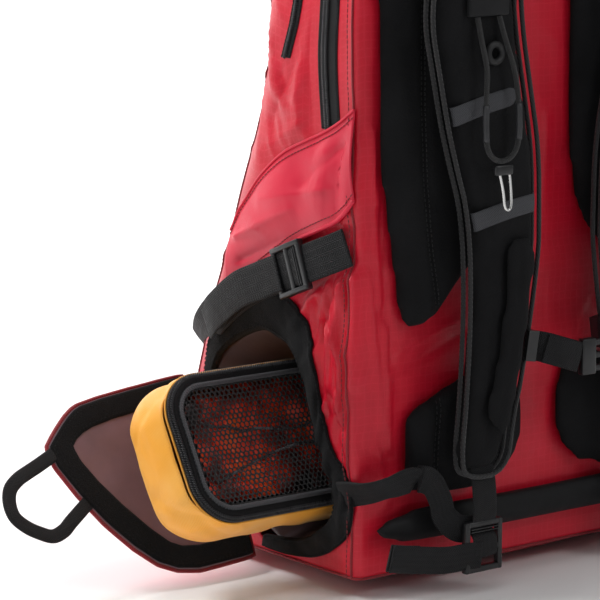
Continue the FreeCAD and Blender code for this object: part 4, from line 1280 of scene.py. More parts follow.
class PanelsOperator(bpy.types.Operator):
    """The wing panels with their rolled edge, and the loop tape round the pocket's mouth."""
    bl_idname = "backpack.side_panels"
    bl_label = "Wings and pocket tape"

    def execute(self, context):
        top = evenly(rounded(WING_TOP, False, 2), 90)
        low = evenly(rounded(WING_LOW, False, 2), 90)
        layout = between(top, low, 40)
        share = np.linspace(0, 1, 40)[:, None]
        along = np.sin(np.linspace(0.4, 2.9, 90))
        pillow = 2.2 + 4.2 * np.sin(math.pi * share) ** 0.8 * (0.55 + 0.45 * along)[None]
        points = draped(layout, np.broadcast_to(pillow, layout.shape[:2]), 0.6)
        base_x = points[..., 0].copy()
        for _ in range(12):
            padded_x = np.pad(base_x, 1, mode="edge")
            mean = (padded_x[:-2, 1:-1] + padded_x[2:, 1:-1] + padded_x[1:-1, :-2] + padded_x[1:-1, 2:]) / 4
            base_x = np.maximum(mean, points[..., 0] - 1.2)
        points[..., 0] = base_x
        y, z = layout[..., 0], layout[..., 1]
        ripples = (crease(y, z, (-120, 222), (-60, 246), 5, 2.2)
                   + crease(y, z, (-118, 206), (-74, 224), 5, -2.0)
                   + crease(y, z, (-30, 262), (-90, 250), 7, 1.6)
                   + crease(y, z, (-14, 290), (-50, 262), 6, -1.8)
                   + 1.1 * noise_at(points, 55, 3.0, 1))
        points[..., 0] += ripples * (np.sin(math.pi * share) ** 0.5) * sizes().fold_depth
        wing = grid("wing_right", points, outward=1)
        add_thickness(wing, 1.0)
        dress(wing, "twill", "bag", "twill", "wing_panel_right")
        edges = [cord_mesh("roll", points[-1] + np.array((0.4, 0, 0)), 1.5, around=10),
                 cord_mesh("roll", points[0] + np.array((0.2, 0, 0)), 1.0, around=8)]
        stitches = [stitch_row("stitch", points[k] + np.array((0.35, 0, 0)), (1, 0, 0)) for k in (3, 36)]
        rolls = joined("wing_edge_right", edges)
        dress(rolls, "twill", "bag", "twill")
        threads = joined("wing_stitching_right", stitches)
        dress(threads, "seam", "bag", "twill")
        dress(flipped("wing_left", wing), "twill", "bag", "twill", "wing_panel_left")
        dress(flipped("wing_edge_left", rolls), "twill", "bag", "twill")
        dress(flipped("wing_stitching_left", threads), "seam", "bag", "twill")

        outer = evenly(rounded(TAPE_EDGE, False, 2), 150)
        inner_line = evenly(rounded(MOUTH, False, 2), 150)
        layout = between(outer, inner_line, 16)
        lift = 2.3 + 0.5 * np.sin(np.linspace(0, math.pi, 16))[:, None] + 0 * layout[..., 0]
        points = draped(layout, lift, 0.5)
        points[..., 0] += 0.9 * noise_at(points, 15, 7.0, 2) * sizes().fold_depth
        points[-1, :, 0] -= 3.0
        points[-2, :, 0] -= 0.6
        tape = grid("pocket_tape", points, outward=1)
        add_thickness(tape, 1.6)
        dress(tape, "tape", "bag", "hook_loop", "pocket_loop_tape")
        thread = joined("pocket_tape_stitching", [
            stitch_row("stitch", points[k] + np.array((0.5, 0, 0)), (1, 0, 0), 3.4, 2.3) for k in (1, 13)])
        dress(thread, "webbing", "bag", "hook_loop")
        return {"FINISHED"}


class ZipsOperator(bpy.types.Operator):
    """The main and front zips with their coils, sliders and pulls."""
    bl_idname = "backpack.zips"
    bl_label = "Zips"

    def coil(self, name, line, out, radius=1.15, pitch=1.5):
        """A nylon coil: a helix of small teeth along a line of points in mm."""
        length = np.linalg.norm(np.diff(line, axis=0), axis=1).sum()
        turns = int(length / pitch)
        spine = evenly(line, turns * 8)
        outs = evenly(np.broadcast_to(out, line.shape), turns * 8)
        forward = np.gradient(spine, axis=0)
        forward /= np.linalg.norm(forward, axis=1)[:, None]
        side = np.cross(forward, outs)
        angle = np.linspace(0, TAU * turns, len(spine))[:, None]
        helix = spine + side * np.cos(angle) * radius * 1.25 + outs * np.sin(angle) * radius * 0.75
        return cord_mesh(name, helix, 0.42, around=5)

    def zip(self, name, left, right, node, coil_share, count=120):
        a, b = evenly(rounded(left, False, 2), count), evenly(rounded(right, False, 2), count)
        layout = between(a, b, 14)
        points = draped(layout, 0.0, 1.0)
        for row in range(points.shape[1]):
            points[:, row, 0] = np.maximum(points[:, row, 0], 0)
        middle = points[:, :, 0].mean(0)
        smooth = np.convolve(np.pad(middle, 8, mode="edge"), np.ones(17) / 17, "valid")
        points[:, :, 0] = np.minimum(np.maximum(points[:, :, 0] + 0.4, smooth[None] + 0.5), HALF + 1.0)
        tape = grid(name + "_tape", points, outward=-1)
        add_thickness(tape, 0.8)
        dress(tape, "zip_tape", "bag", "zip_tape", node)
        layer = points * 1.0
        rows = layer.shape[0]
        coils = []
        for share in coil_share:
            line = layer[int(round(share * (rows - 1)))] + np.array((0.75, 0, 0))
            coils.append(self.coil("coil", line, np.array((1.0, 0, 0)), radius=0.95))
        dress(joined(name + "_coil", coils), "coil", "bag", "zip_tape")
        edges = [layer[k] + np.array((0.25, 0, 0)) for k in (1, rows - 2)]
        threads = joined(name + "_stitching", [stitch_row("stitch", edge, (1, 0, 0), 2.6, 1.7, 0.26)
                                               for edge in edges])
        dress(threads, "webbing", "bag", "zip_tape")

    def execute(self, context):
        self.zip("main_zip", MAIN_ZIP_LEFT, MAIN_ZIP_RIGHT, "main_zip_tape", (0.30, 0.46))
        front = np.array(FRONT_ZIP, float)
        self.zip("front_zip", front - np.array((5.0, 0)), front + np.array((4.4, 0)), "front_zip_tape",
                 (0.5,))
        for name in ("main", "front"):
            dress_node(name + "_zip_slider", "wire")
            dress_node(name + "_zip_pull", "rubber")
        return {"FINISHED"}


# ------------------------------------------------------------------ harness side
UPPER_PAD = ((145, 486), (145, 318), (143, 279), (137, 247), (131, 209), (122, 168), (106, 168), (85, 174),
             (68, 196), (42, 214), (16, 252), (16, 486))
LUMBAR_PAD = ((122, 119), (66, 144), (14, 150), (12, 59), (127, 59), (118, 78), (118, 103))


class HarnessSideOperator(bpy.types.Operator):
    """The foam pads and the waist band on the harness side, with their stitched channels."""
    bl_idname = "backpack.harness_side"
    bl_label = "Back pads and waist band"

    def execute(self, context):
        cap = sizes().pad_cap / MM
        upper_seams = (((105, 492), (105, 320), (103, 270), (97, 215), (88, 176)),
                       ((108, 492), (108, 320), (106, 270), (100, 215), (91, 176)))
        lumbar_seams = (((92, 56), (92, 90), (88, 134)), ((95, 56), (95, 90), (91, 134)))
        pads = (("upper_pad", UPPER_PAD, PAD_FRONT, upper_seams),
                ("lumbar_pad", LUMBAR_PAD, PAD_FRONT, lumbar_seams))
        for name, outline, high, lines in pads:
            right = sewn_pad(name + "_right", outline, 0.3, high, cap, [rounded(l, False, 2) for l in lines])
            rows = []
            tree = BVHTree.FromObject(right, bpy.context.evaluated_depsgraph_get())
            for line in lines:
                dense = evenly(rounded(line, False, 2), 60)
                laid = []
                for x, z in dense:
                    hit, _, _, _ = tree.ray_cast(Vector(metres((x, 60, z))), Vector((0, -1, 0)))
                    if hit is not None:
                        laid.append((x, (hit.y - SHIFT) / MM + 0.2, z))
                rows.append(stitch_row("stitch", np.array(laid), (0, 1, 0)))
            threads = dress(joined(name + "_stitching_right", rows), "knit", "bag", "pad_mesh")
            dress(right, "pad", "bag", "pad_mesh", name + "_right")
            left = dress(flipped(name + "_left", right), "pad", "bag", "pad_mesh", name + "_left")
            dress(flipped(name + "_stitching_left", threads), "knit", "bag", "pad_mesh")
        band = sewn_pad("waist_band", ((-140, 31.5), (-140, 56.5), (0, 57), (140, 56.5), (140, 31.5),
                                       (0, 31)), 0.3,
                        15.0, 2.5, [((-140, 36), (140, 36)), ((-140, 52), (140, 52))], 0.8, 1.6)
        dress(band, "webbing", "bag", "webbing", "waist_band")
        return {"FINISHED"}


class InsideOperator(bpy.types.Operator):
    """The pocket's liner and the stiffening sheet with its stay."""
    bl_idname = "backpack.inside"
    bl_label = "Liner and stiffeners"

    def execute(self, context):
        tunnel = [on_pouch(lid_ring(-3.0 + inset, 0.0, (x, x), tunnel=True))
                  for inset, x in ((0, 118), (0, 90), (0, 50), (0, 0), (0, -50), (0, -90), (1, -118),
                                   (6, -127), (20, -131), (50, -132))]
        mouth = evenly(rounded(MOUTH, True, 2), 720, True)
        middle = tunnel[0].mean(0)
        spokes = np.arctan2(tunnel[0][:, 2] - middle[2], tunnel[0][:, 1] - middle[1])
        rim_turn = np.arctan2(mouth[:, 1] - middle[2], mouth[:, 0] - middle[1])
        nearest = [int(np.argmin(np.abs((rim_turn - t + math.pi) % TAU - math.pi))) for t in spokes]
        rim = np.stack([np.full(72, HALF - 1.4), mouth[nearest, 0], mouth[nearest, 1]], 1)
        rim = middle + (rim - middle) * np.array((1, 1.03, 1.03))
        rim[:, 0] = HALF - 1.4
        lead = [rim, rim * 0.9 + tunnel[0] * 0.1, rim * 0.55 + tunnel[0] * 0.45]
        points = np.array(lead + tunnel)
        points += noise_at(points, 30, 5.0, 2)[..., None] * np.array((0.2, 0.7, 0.7))
        points[0] = rim
        liner = grid("pocket_lining", points, wrap=True, thickness=0.6, outward=-1)
        # The liner's darkened lining is painted shade inside the pocket.
        dress(liner, "lining_in_painted_shade", "bag", "coated_lining", "pocket_liner")
        dress_node("frame_sheet", "sheet_plastic")
        dress_node("aluminium_stay", "aluminium")
        return {"FINISHED"}


# ------------------------------------------------------------------ pouch
POUCH_TOP = np.array((0.0, -85.0, 145.0))
POUCH_ACROSS = np.array((0.0, 0.5, -0.8660254))
POUCH_OUT = np.array((0.0, 0.8660254, 0.5))
POUCH_LOW_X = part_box("pouch_piping")[0].x / MM
POUCH_HIGH_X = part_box("pouch_piping")[1].x / MM
POUCH_WIDE = 104.0


def on_pouch(local):
    """Points given as (X, across the lid, out of the lid) put in place."""
    local = np.asarray(local, float)
    out = POUCH_TOP + local[..., 1:2] * POUCH_ACROSS + local[..., 2:3] * POUCH_OUT
    out[..., 0] = local[..., 0]
    return out


def lid_ring(inset, level, ends=None, tunnel=False):
    """One turn round the pouch at an inset from its rim: (X, across, out) points."""
    if tunnel:
        across = np.linspace(0, TAU, 72, endpoint=False)
        half_y, half_z = POUCH_WIDE / 2 - inset, 28 - inset * 0.5
        c, s = np.cos(across), np.sin(across)
        y = POUCH_WIDE / 2 + half_y * np.sign(c) * np.abs(c) ** 0.35
        z = -28 + half_z * np.sign(s) * np.abs(s) ** 0.35
        return np.stack([np.full(72, ends[0], float), y, z], 1)
    low, high = POUCH_LOW_X, POUCH_HIGH_X
    cx, cy = (low + high) / 2, POUCH_WIDE / 2
    half_x, half_y = (high - low) / 2 - inset, POUCH_WIDE / 2 - inset
    r = max(30.0 - inset, 3.0)
    points = []
    for sx, sy, start, count in ((1, -1, -math.pi / 2, 26), (1, 1, 0, 46), (-1, 1, math.pi / 2, 26),
                                 (-1, -1, math.pi, 46)):
        for turn in np.linspace(start, start + math.pi / 2, 18):
            points.append((cx + sx * (half_x - r) + r * math.cos(turn),
                           cy + sy * (half_y - r) + r * math.sin(turn)))
        following = {(1, -1): (1, 0), (1, 1): (0, 1), (-1, 1): (-1, 0), (-1, -1): (0, -1)}[(sx, sy)]
        if following[0]:
            a, b = cy + sy * (half_y - r), cy - sy * (half_y - r)
            for t in np.linspace(0, 1, 28)[1:-1]:
                points.append((cx + following[0] * half_x, a + (b - a) * t))
        else:
            a, b = cx + sx * (half_x - r), cx - sx * (half_x - r)
            for t in np.linspace(0, 1, 50)[1:-1]:
                points.append((a + (b - a) * t, cy + following[1] * half_y))
    flat = np.array(points)
    return np.concatenate([flat, np.full((len(flat), 1), float(level))], 1)


def mesh_sheet(name, pitch, hole, inset, level):
    """A sheet of round-holed mesh over the lid, its edge drawn in to the lid's outline."""
    border = lid_ring(inset, 0)[:, :2]
    low, high = border.min(0), border.max(0)
    r = 30.0 - inset
    inner_low, inner_high = low + r, high - r
    work, index, cells = [], {}, []
    row_gap = pitch * math.sqrt(3) / 2

    def drawn_in(p):
        near = np.clip(p, inner_low, inner_high)
        away = p - near
        far = np.linalg.norm(away)
        return near + away * min(1.0, r / far) if far > r else p

    def corner(p):
        key = (round(p[0] * 50), round(p[1] * 50))
        if key not in index:
            index[key] = len(work)
            work.append(drawn_in(np.array(p)))
        return index[key]

    rows = int((high[1] - low[1]) / row_gap) + 3
    columns = int((high[0] - low[0]) / pitch) + 3
    for j in range(rows):
        for i in range(columns):
            cx = low[0] - pitch + i * pitch + (pitch / 2 if j % 2 else 0)
            cy = low[1] - row_gap + j * row_gap
            centre = np.array((cx, cy))
            near = np.clip(centre, inner_low, inner_high)
            far = np.linalg.norm(centre - near)
            if far > r + pitch * 0.55:
                continue
            outer = [corner((cx + pitch / math.sqrt(3) * math.sin(k * math.pi / 3),
                             cy + pitch / math.sqrt(3) * math.cos(k * math.pi / 3))) for k in range(6)]
            if far > r - hole * 0.8:
                cells.append(outer)
                continue
            size = hole / 2 * (1 + 0.10 * math.sin(i * 12.9 + j * 7.7))
            start = len(work)
            for k in range(12):
                turn = k * math.pi / 6
                work.append(centre + size * np.array((math.sin(turn), math.cos(turn) * 1.08)))
            for k in range(6):
                a, b = outer[k], outer[(k + 1) % 6]
                p, q, s = start + 2 * k, start + 2 * k + 1, start + (2 * k + 2) % 12
                cells += [(a, p, q), (a, q, b), (b, q, s)]
    flat = np.array(work)
    near_edge = distance_to(flat, np.vstack([border, border[:1]]))
    sag = -1.8 * np.clip(near_edge / 26, 0, 1) ** 1.3
    z = level + sag + 0.9 * noise_at(np.stack([flat[:, 0], flat[:, 1], 0 * flat[:, 0]], 1), 30, 8.0, 2)
    z = np.minimum(z, level)
    local = np.stack([flat[:, 0], flat[:, 1], z], 1)
    piece = finish_mesh(name, metres(on_pouch(local)), cells, local[:, :2] * MM)
    add_thickness(piece, 0.35)
    return piece


class PouchOperator(bpy.types.Operator):
    """The pull-out pouch: soft walls, zip, piping, mesh lid and lining."""
    bl_idname = "backpack.pouch"
    bl_label = "Pull-out pouch"

    def execute(self, context):
        profile = through(((1.6, -6.0), (0.4, -12), (-0.8, -22), (-0.9, -32), (1.0, -42), (6.0, -50),
                           (16, -54.6), (30, -55.4), (49, -55.6)), 46)
        rings = np.array([lid_ring(d, z) for d, z in profile])
        local = rings.copy()
        centre = np.array(((POUCH_LOW_X + POUCH_HIGH_X) / 2, POUCH_WIDE / 2, -26))
        away = rings - centre
        away[..., 2] *= 0.15
        away /= np.linalg.norm(away, axis=-1)[..., None]
        depth = np.clip(-rings[..., 2] / 56, 0, 1)
        body = np.sin(np.clip(depth * 1.05, 0, 1) * math.pi) ** 0.7
        end = (rings[..., 0] - 215) / 30
        y = rings[..., 1]
        wrinkles = (crease(y, -rings[..., 2], (8, 10), (34, 34), 5, -2.2) * np.clip(end, 0, 1)
                    + crease(y, -rings[..., 2], (96, 8), (72, 34), 5, -2.4) * np.clip(end, 0, 1)
                    + crease(rings[..., 0], -rings[..., 2], (236, 10), (205, 34), 5, -2.2)
                    + crease(rings[..., 0], -rings[..., 2], (214, 6), (186, 40), 6, 1.6)
                    + crease(rings[..., 0], -rings[..., 2], (190, 8), (160, 44), 6, -1.6))
        lump = noise_at(rings, 26, 3.0, 2)
        local += away * ((1.5 * lump + 0.9 * wrinkles) * body)[..., None] * sizes().fold_depth
        outer_end = np.clip((rings[..., 0] - 205) / 40, 0, 1) ** 1.5
        swell = outer_end * np.sin(np.clip(depth, 0, 1) * math.pi) ** 0.6
        local[..., 0] += 7.0 * swell
        low = np.array((POUCH_LOW_X - 1.5, -1.5, -56.0))
        high = np.array((POUCH_HIGH_X + 8.0, POUCH_WIDE + 1.5, 0.5))
        local = np.clip(local, low, high)
        walls = grid("pouch_walls_cloth", on_pouch(local), wrap=True, outward=-1, thickness=1.0)
        dress(walls, "pouch", "pouch", "pouch_cloth", "pouch_walls")

        band = through(((1.5, -6.6), (1.9, -4.2), (3.2, -2.4), (5.2, -1.4), (8.6, -1.3), (10.4, -2.6)), 14)
        strip = grid("pouch_zip_cloth", on_pouch(np.array([lid_ring(d, z) for d, z in band])), wrap=True,
                     outward=1, thickness=0.8)
        dress(strip, "zip_tape", "pouch", "zip_tape", "pouch_zip_band")
        coils = []
        for d, z in ((2.2, -3.0), (3.6, -1.7)):
            line = on_pouch(lid_ring(d, z))
            line = np.vstack([line, line[:1]])
            out = np.broadcast_to(POUCH_OUT, line.shape)
            coils.append(ZipsOperator.coil(None, "coil", line, out, 0.7, 1.6))
        dress(joined("pouch_zip_coil", coils), "coil", "pouch", "zip_tape")
        threads = [stitch_row("stitch", np.vstack([p, p[:1]]), POUCH_OUT, 2.6, 1.7, 0.26)
                   for p in (on_pouch(lid_ring(5.6, -0.9)), on_pouch(lid_ring(8.2, -0.9)))]
        dress(joined("pouch_zip_stitching", threads), "webbing", "pouch", "zip_tape")
        dress(cord_mesh("pouch_piping_cord", on_pouch(lid_ring(10.2, -1.5)), 1.7, closed=True, around=12),
                       "piping", "pouch", "pouch_piping", "pouch_piping")
        dress(cord_mesh("pouch_wall_seam", on_pouch(lid_ring(1.2, -6.3)), 0.8, closed=True, around=8),
                     "pouch", "pouch", "pouch_cloth")
        lid = mesh_sheet("pouch_lid", sizes().mesh_pitch / MM, 2.7, 11.2, -2.0)
        dress(lid, "mesh", "pouch", "black_mesh", "pouch_mesh_lid")

        x = np.linspace(POUCH_LOW_X + 9, POUCH_HIGH_X - 9, 110)
        y = np.linspace(8, POUCH_WIDE - 8, 62)
        gx, gy = np.meshgrid(x, y)
        bulk = noise_at(np.stack([gx, gy, 0 * gx], -1), 30, 12.0, 3)
        ridge = 1 - 2 * np.abs(noise_at(np.stack([gx, gy, 0 * gx], -1), 20, 21.0, 2))
        level = -9 + 5.5 * bulk + 3.5 * ridge - 10 * (np.abs(gy - 52) / 46) ** 6
        inside = grid("pouch_inner_cloth", on_pouch(np.stack([gx, gy, np.minimum(level, -5.2)], -1)),
                      outward=1)
        add_thickness(inside, 0.6)
        dress(inside, "inner_red", "pouch", "pouch_cloth")
        tapes = []
        for start, bow in ((26, 16), (66, -12)):
            t = np.linspace(0, 1, 90)
            px = POUCH_LOW_X + 24 + t * 150
            py = start + bow * np.sin(t * math.pi) + 8 * t
            level = -9 + 5.5 * noise_at(np.stack([px, py, 0 * px], -1), 30, 12.0, 3)
            ridge = 1 - 2 * np.abs(noise_at(np.stack([px, py, 0 * px], -1), 20, 21.0, 2))
            pz = np.minimum(level + 3.5 * ridge, -5.2) + 0.9
            tapes.append(cord_mesh("tape", on_pouch(np.stack([px, py, pz], -1)), 0.9, around=8))
        dress(joined("pouch_inner_seams", tapes), "piping", "pouch", "pouch_piping")
        dress_node("pouch_zip_slider", "wire")
        return {"FINISHED"}


# ------------------------------------------------------------------ flap
FLAP = ((3, 0), (24, -2), (64, -4), (90, 9), (121, 50), (139, 94), (127, 106), (111, 119), (99, 124),
        (44, 130), (3, 133))
FLAP_INSIDE = ((20, 15), (58, 13), (74, 21), (103, 60), (119, 92), (110, 101), (93, 107), (44, 113),
               (20, 115))
LOOP_OUT = ((141.2, 93.1), (176, 78), (182, 55), (168, 38), (149, 32), (123.2, 49.1))
LOOP_IN = ((143, 82), (166, 71), (171, 56), (161, 47), (150, 43), (133, 52))


def on_flap(u, v, w):
    """Points given along the flap, across it and out of it put in place."""
    return np.stack([152 + u, -93 - 0.5519 * v - 0.8339 * w, 13 + 0.8339 * v - 0.5519 * w], -1)


def flap_ripple(u, v):
    """Slack in the flap's layers, the same for each so that they lie on each other."""
    ripple = 0.9 * noise_at(np.stack([u, v, 0 * u], -1), 42, 5.0, 2)
    folds = crease(u, v, (40, 60), (110, 100), 12, 1.2) + crease(u, v, (20, 100), (60, 30), 10, -1.0)
    return ripple + folds


def reach(outline, centre, turns):
    """Distance from the centre to the outline in each direction."""
    out = np.zeros(len(turns))
    points = np.asarray(outline, float) - centre
    for a, b in zip(points, np.roll(points, -1, 0)):
        edge = b - a
        for k, turn in enumerate(turns):
            d = (math.cos(turn), math.sin(turn))
            cross = d[0] * edge[1] - d[1] * edge[0]
            if abs(cross) < 1e-9:
                continue
            far = (a[0] * edge[1] - a[1] * edge[0]) / cross
            share = (a[0] * d[1] - a[1] * d[0]) / cross
            if far > 0 and -1e-9 <= share <= 1 + 1e-9:
                out[k] = max(out[k], far)
    return out


class FlapOperator(bpy.types.Operator):
    """The pocket's flap: cloth, coated lining, hook tape and folded pull loop."""
    bl_idname = "backpack.flap"
    bl_label = "Flap and pull loop"

    def execute(self, context):
        centre = np.array((68.0, 62.0))
        turns = np.linspace(0, TAU, 180, endpoint=False)
        edge = reach(evenly(rounded(FLAP, True, 1), 300, True), centre, turns)
        inner_edge = reach(evenly(rounded(FLAP_INSIDE, True, 1), 300, True), centre, turns)
        direction = np.stack([np.cos(turns), np.sin(turns)], 1)

        def layer(name, shares, radius_of, level, swell, **options):
            rows = np.array([centre + direction * (radius_of(s))[:, None] for s in shares])
            u, v = rows[..., 0], rows[..., 1]
            w = level + swell(np.array(shares))[:, None] + flap_ripple(u, v) * 0.8
            return grid(name, on_flap(u, v, w), uv=np.stack([u, v], -1) * MM, wrap=True, **options)

        cloth = layer("flap_shell", np.linspace(1, 0.02, 40), lambda s: edge * s, 3.4, lambda s: 0 * s,
                      outward=1, thickness=0.9)
        dress(cloth, "ripstop", "flap", "ripstop", "flap_cloth")
        lining = layer("flap_coated_lining", np.linspace(0.985, 0.02, 40), lambda s: edge * s, 1.6,
                       lambda s: 0 * s, outward=-1, thickness=0.7)
        dress(lining, "lining", "flap", "coated_lining", "flap_lining")
        tape = layer("flap_tape", np.linspace(0, 1, 14), lambda s: (edge - 1.8) * (1 - s) + inner_edge * s,
                     0.4, lambda s: -0.5 * np.sin(math.pi * s) ** 0.5, outward=-1, thickness=1.0)
        dress(tape, "tape", "flap", "hook_loop", "flap_hook_tape")
        rings = []
        for radius in (edge - 4.5, inner_edge + 2.6):
            line = centre + direction * radius[:, None]
            u, v = line[:, 0], line[:, 1]
            points = on_flap(u, v, 0.45 + flap_ripple(u, v) * 0.8)
            rings.append(stitch_row("stitch", np.vstack([points, points[:1]]), (0, 0.834, 0.552), 3.2, 2.2))
        dress(joined("flap_stitching", rings), "webbing", "flap", "hook_loop")
        line = centre + direction * edge[:, None]
        u, v = line[:, 0], line[:, 1]
        rim = on_flap(u, v, 2.6 + flap_ripple(u, v) * 0.8)
        dress(cord_mesh("flap_edge", rim, 1.4, closed=True, around=8), "seam", "flap", "ripstop")

        outer = through([on_flap(*map(np.array, (float(a), float(b), 1.6))) for a, b in LOOP_OUT], 70)
        inner = through([on_flap(*map(np.array, (float(a), float(b), 1.6))) for a, b in LOOP_IN], 70)
        middle = (outer + inner) / 2
        first = on_flap(131.0, 92.0, 1.5)
        last = on_flap(117.0, 57.0, 1.5)
        ends = (outer - inner)
        line = np.vstack([[first], middle[3:-3:6], [last]])
        sides = np.vstack([[ends[4]], ends[3:-3:6], [ends[-5]]])
        loop = sweep("pull_loop", line, sides, 9.5, 2.4, 110)
        loop.data.materials.clear()
        loop.data.materials.append(finish_of("fine_webbing"))
        tuple(metres(on_flap(128.0, 74.0, 1.5)))
        tuple(metres(on_flap(143.0, 66.0, 1.5)))
        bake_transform(loop)
        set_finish(loop, "webbing")
        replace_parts(loop, "flap_pull_loop")
        return {"FINISHED"}


# ------------------------------------------------------------------ compression straps
def lock_shape(name, long, wide, thick, bars, radius=1.2):
    """A moulded buckle frame about the origin: X through it, Y along the webbing, Z across it."""
    rails = [((-thick / 2, -long / 2, -wide / 2), (thick / 2, long / 2, -wide / 2 + 3.8)),
             ((-thick / 2, -long / 2, wide / 2 - 3.8), (thick / 2, long / 2, wide / 2))]
    for share in bars:
        y = (share - 0.5) * (long - 4.2)
        rails.append(((-thick / 2 * 0.9, y - 2.1, -wide / 2 + 1), (thick / 2 * 0.9, y + 2.1, wide / 2 - 1)))
    ridges = [((thick / 2 - 1.2, long / 2 - 5.4 - k * 1.8, -wide / 2 + 4),
               (thick / 2 + 0.2, long / 2 - 4.6 - k * 1.8,
                                                                           wide / 2 - 4)) for k in range(2)]
    piece = moulded(name, rails, radius, shift=0)
    extra = moulded(name, ridges, 0.3, shift=0)
    piece = joined(name, [piece, extra])
    return piece


class CompressionOperator(bpy.types.Operator):
    """The side compression straps and their tension buckles."""
    bl_idname = "backpack.compression"
    bl_label = "Compression straps"

    def execute(self, context):
        slope = math.radians(21)
        across = (0, -math.sin(slope), math.cos(slope))
        wrap = (0.15, -0.36, 0.93)
        front = sweep("strap_front", ((162.5, -43, 213.6), (161.4, -55, 209.0), (160.9, -69, 203.4),
                                      (161.4, -104, 189.0), (158.6, -136, 169.5), (150.5, -160, 154.0),
                                      (138.5, -179, 141.0), (131.5, -186.5, 136.0)),
                      (across, across, across, across, across, wrap, (0.4, -0.5, 0.9), (0.5, -0.5, 0.9)),
                      25, 2.0, 110)
        tail = sweep("strap_under", ((163.4, -64, 205.4), (164.2, -84, 197.6), (164.6, -108, 187.6),
                                     (162.3, -136, 169.6), (158.0, -150, 160.0)),
                     (across,) * 5, 24.6, 1.8, 60)
        rear = sweep("strap_rear", ((159.8, -67, 203.2), (159.9, -53, 208.8), (160.2, -39, 214.3),
                                    (159.0, -27, 219.0), (156.2, -17, 223.2), (152.6, -7, 228)),
                     (across,) * 6, 25, 2.0, 70)
        webbings = joined("compression_strap_right", [front, tail, rear])
        dress(webbings, "webbing", "bag", "webbing", "compression_webbing_right")
        dress(flipped("compression_strap_left", webbings), "webbing", "bag", "webbing",
              "compression_webbing_left")
        lock = lock_shape("compression_lock_right", 31, 33.5, 5.6, (0, 0.52, 1))
        turned(lock, place(161.0, -54, 208.9, Matrix.Rotation(slope, 4, "X")))
        dress(lock, "plastic", "bag", "buckle_plastic", "compression_locks")
        dress(flipped("compression_lock_left", lock), "plastic", "bag", "buckle_plastic")
        return {"FINISHED"}


# ------------------------------------------------------------------ shoulder straps
STRAP = ((88, 468), (104, 432), (115, 400), (119, 370), (112, 338), (105, 305), (98, 280), (87, 246),
         (84, 193),
         (87, 127), (91, 93), (88, 76), (52, 76), (47, 114), (40, 138), (27, 215), (27, 241), (28, 284),
         (36, 325), (44, 366), (46, 400), (40, 435), (34, 468))
SLEEVE = ((62, 235), (63, 192), (73, 136), (81, 117), (62, 97), (54, 104), (42.5, 150), (36, 190),
          (32.5, 232))
UPPER_BAND = ((101, 304), (49, 315), (49, 327), (104, 316))
LOWER_BAND = ((83, 236), (32, 245), (32, 257), (86, 248))


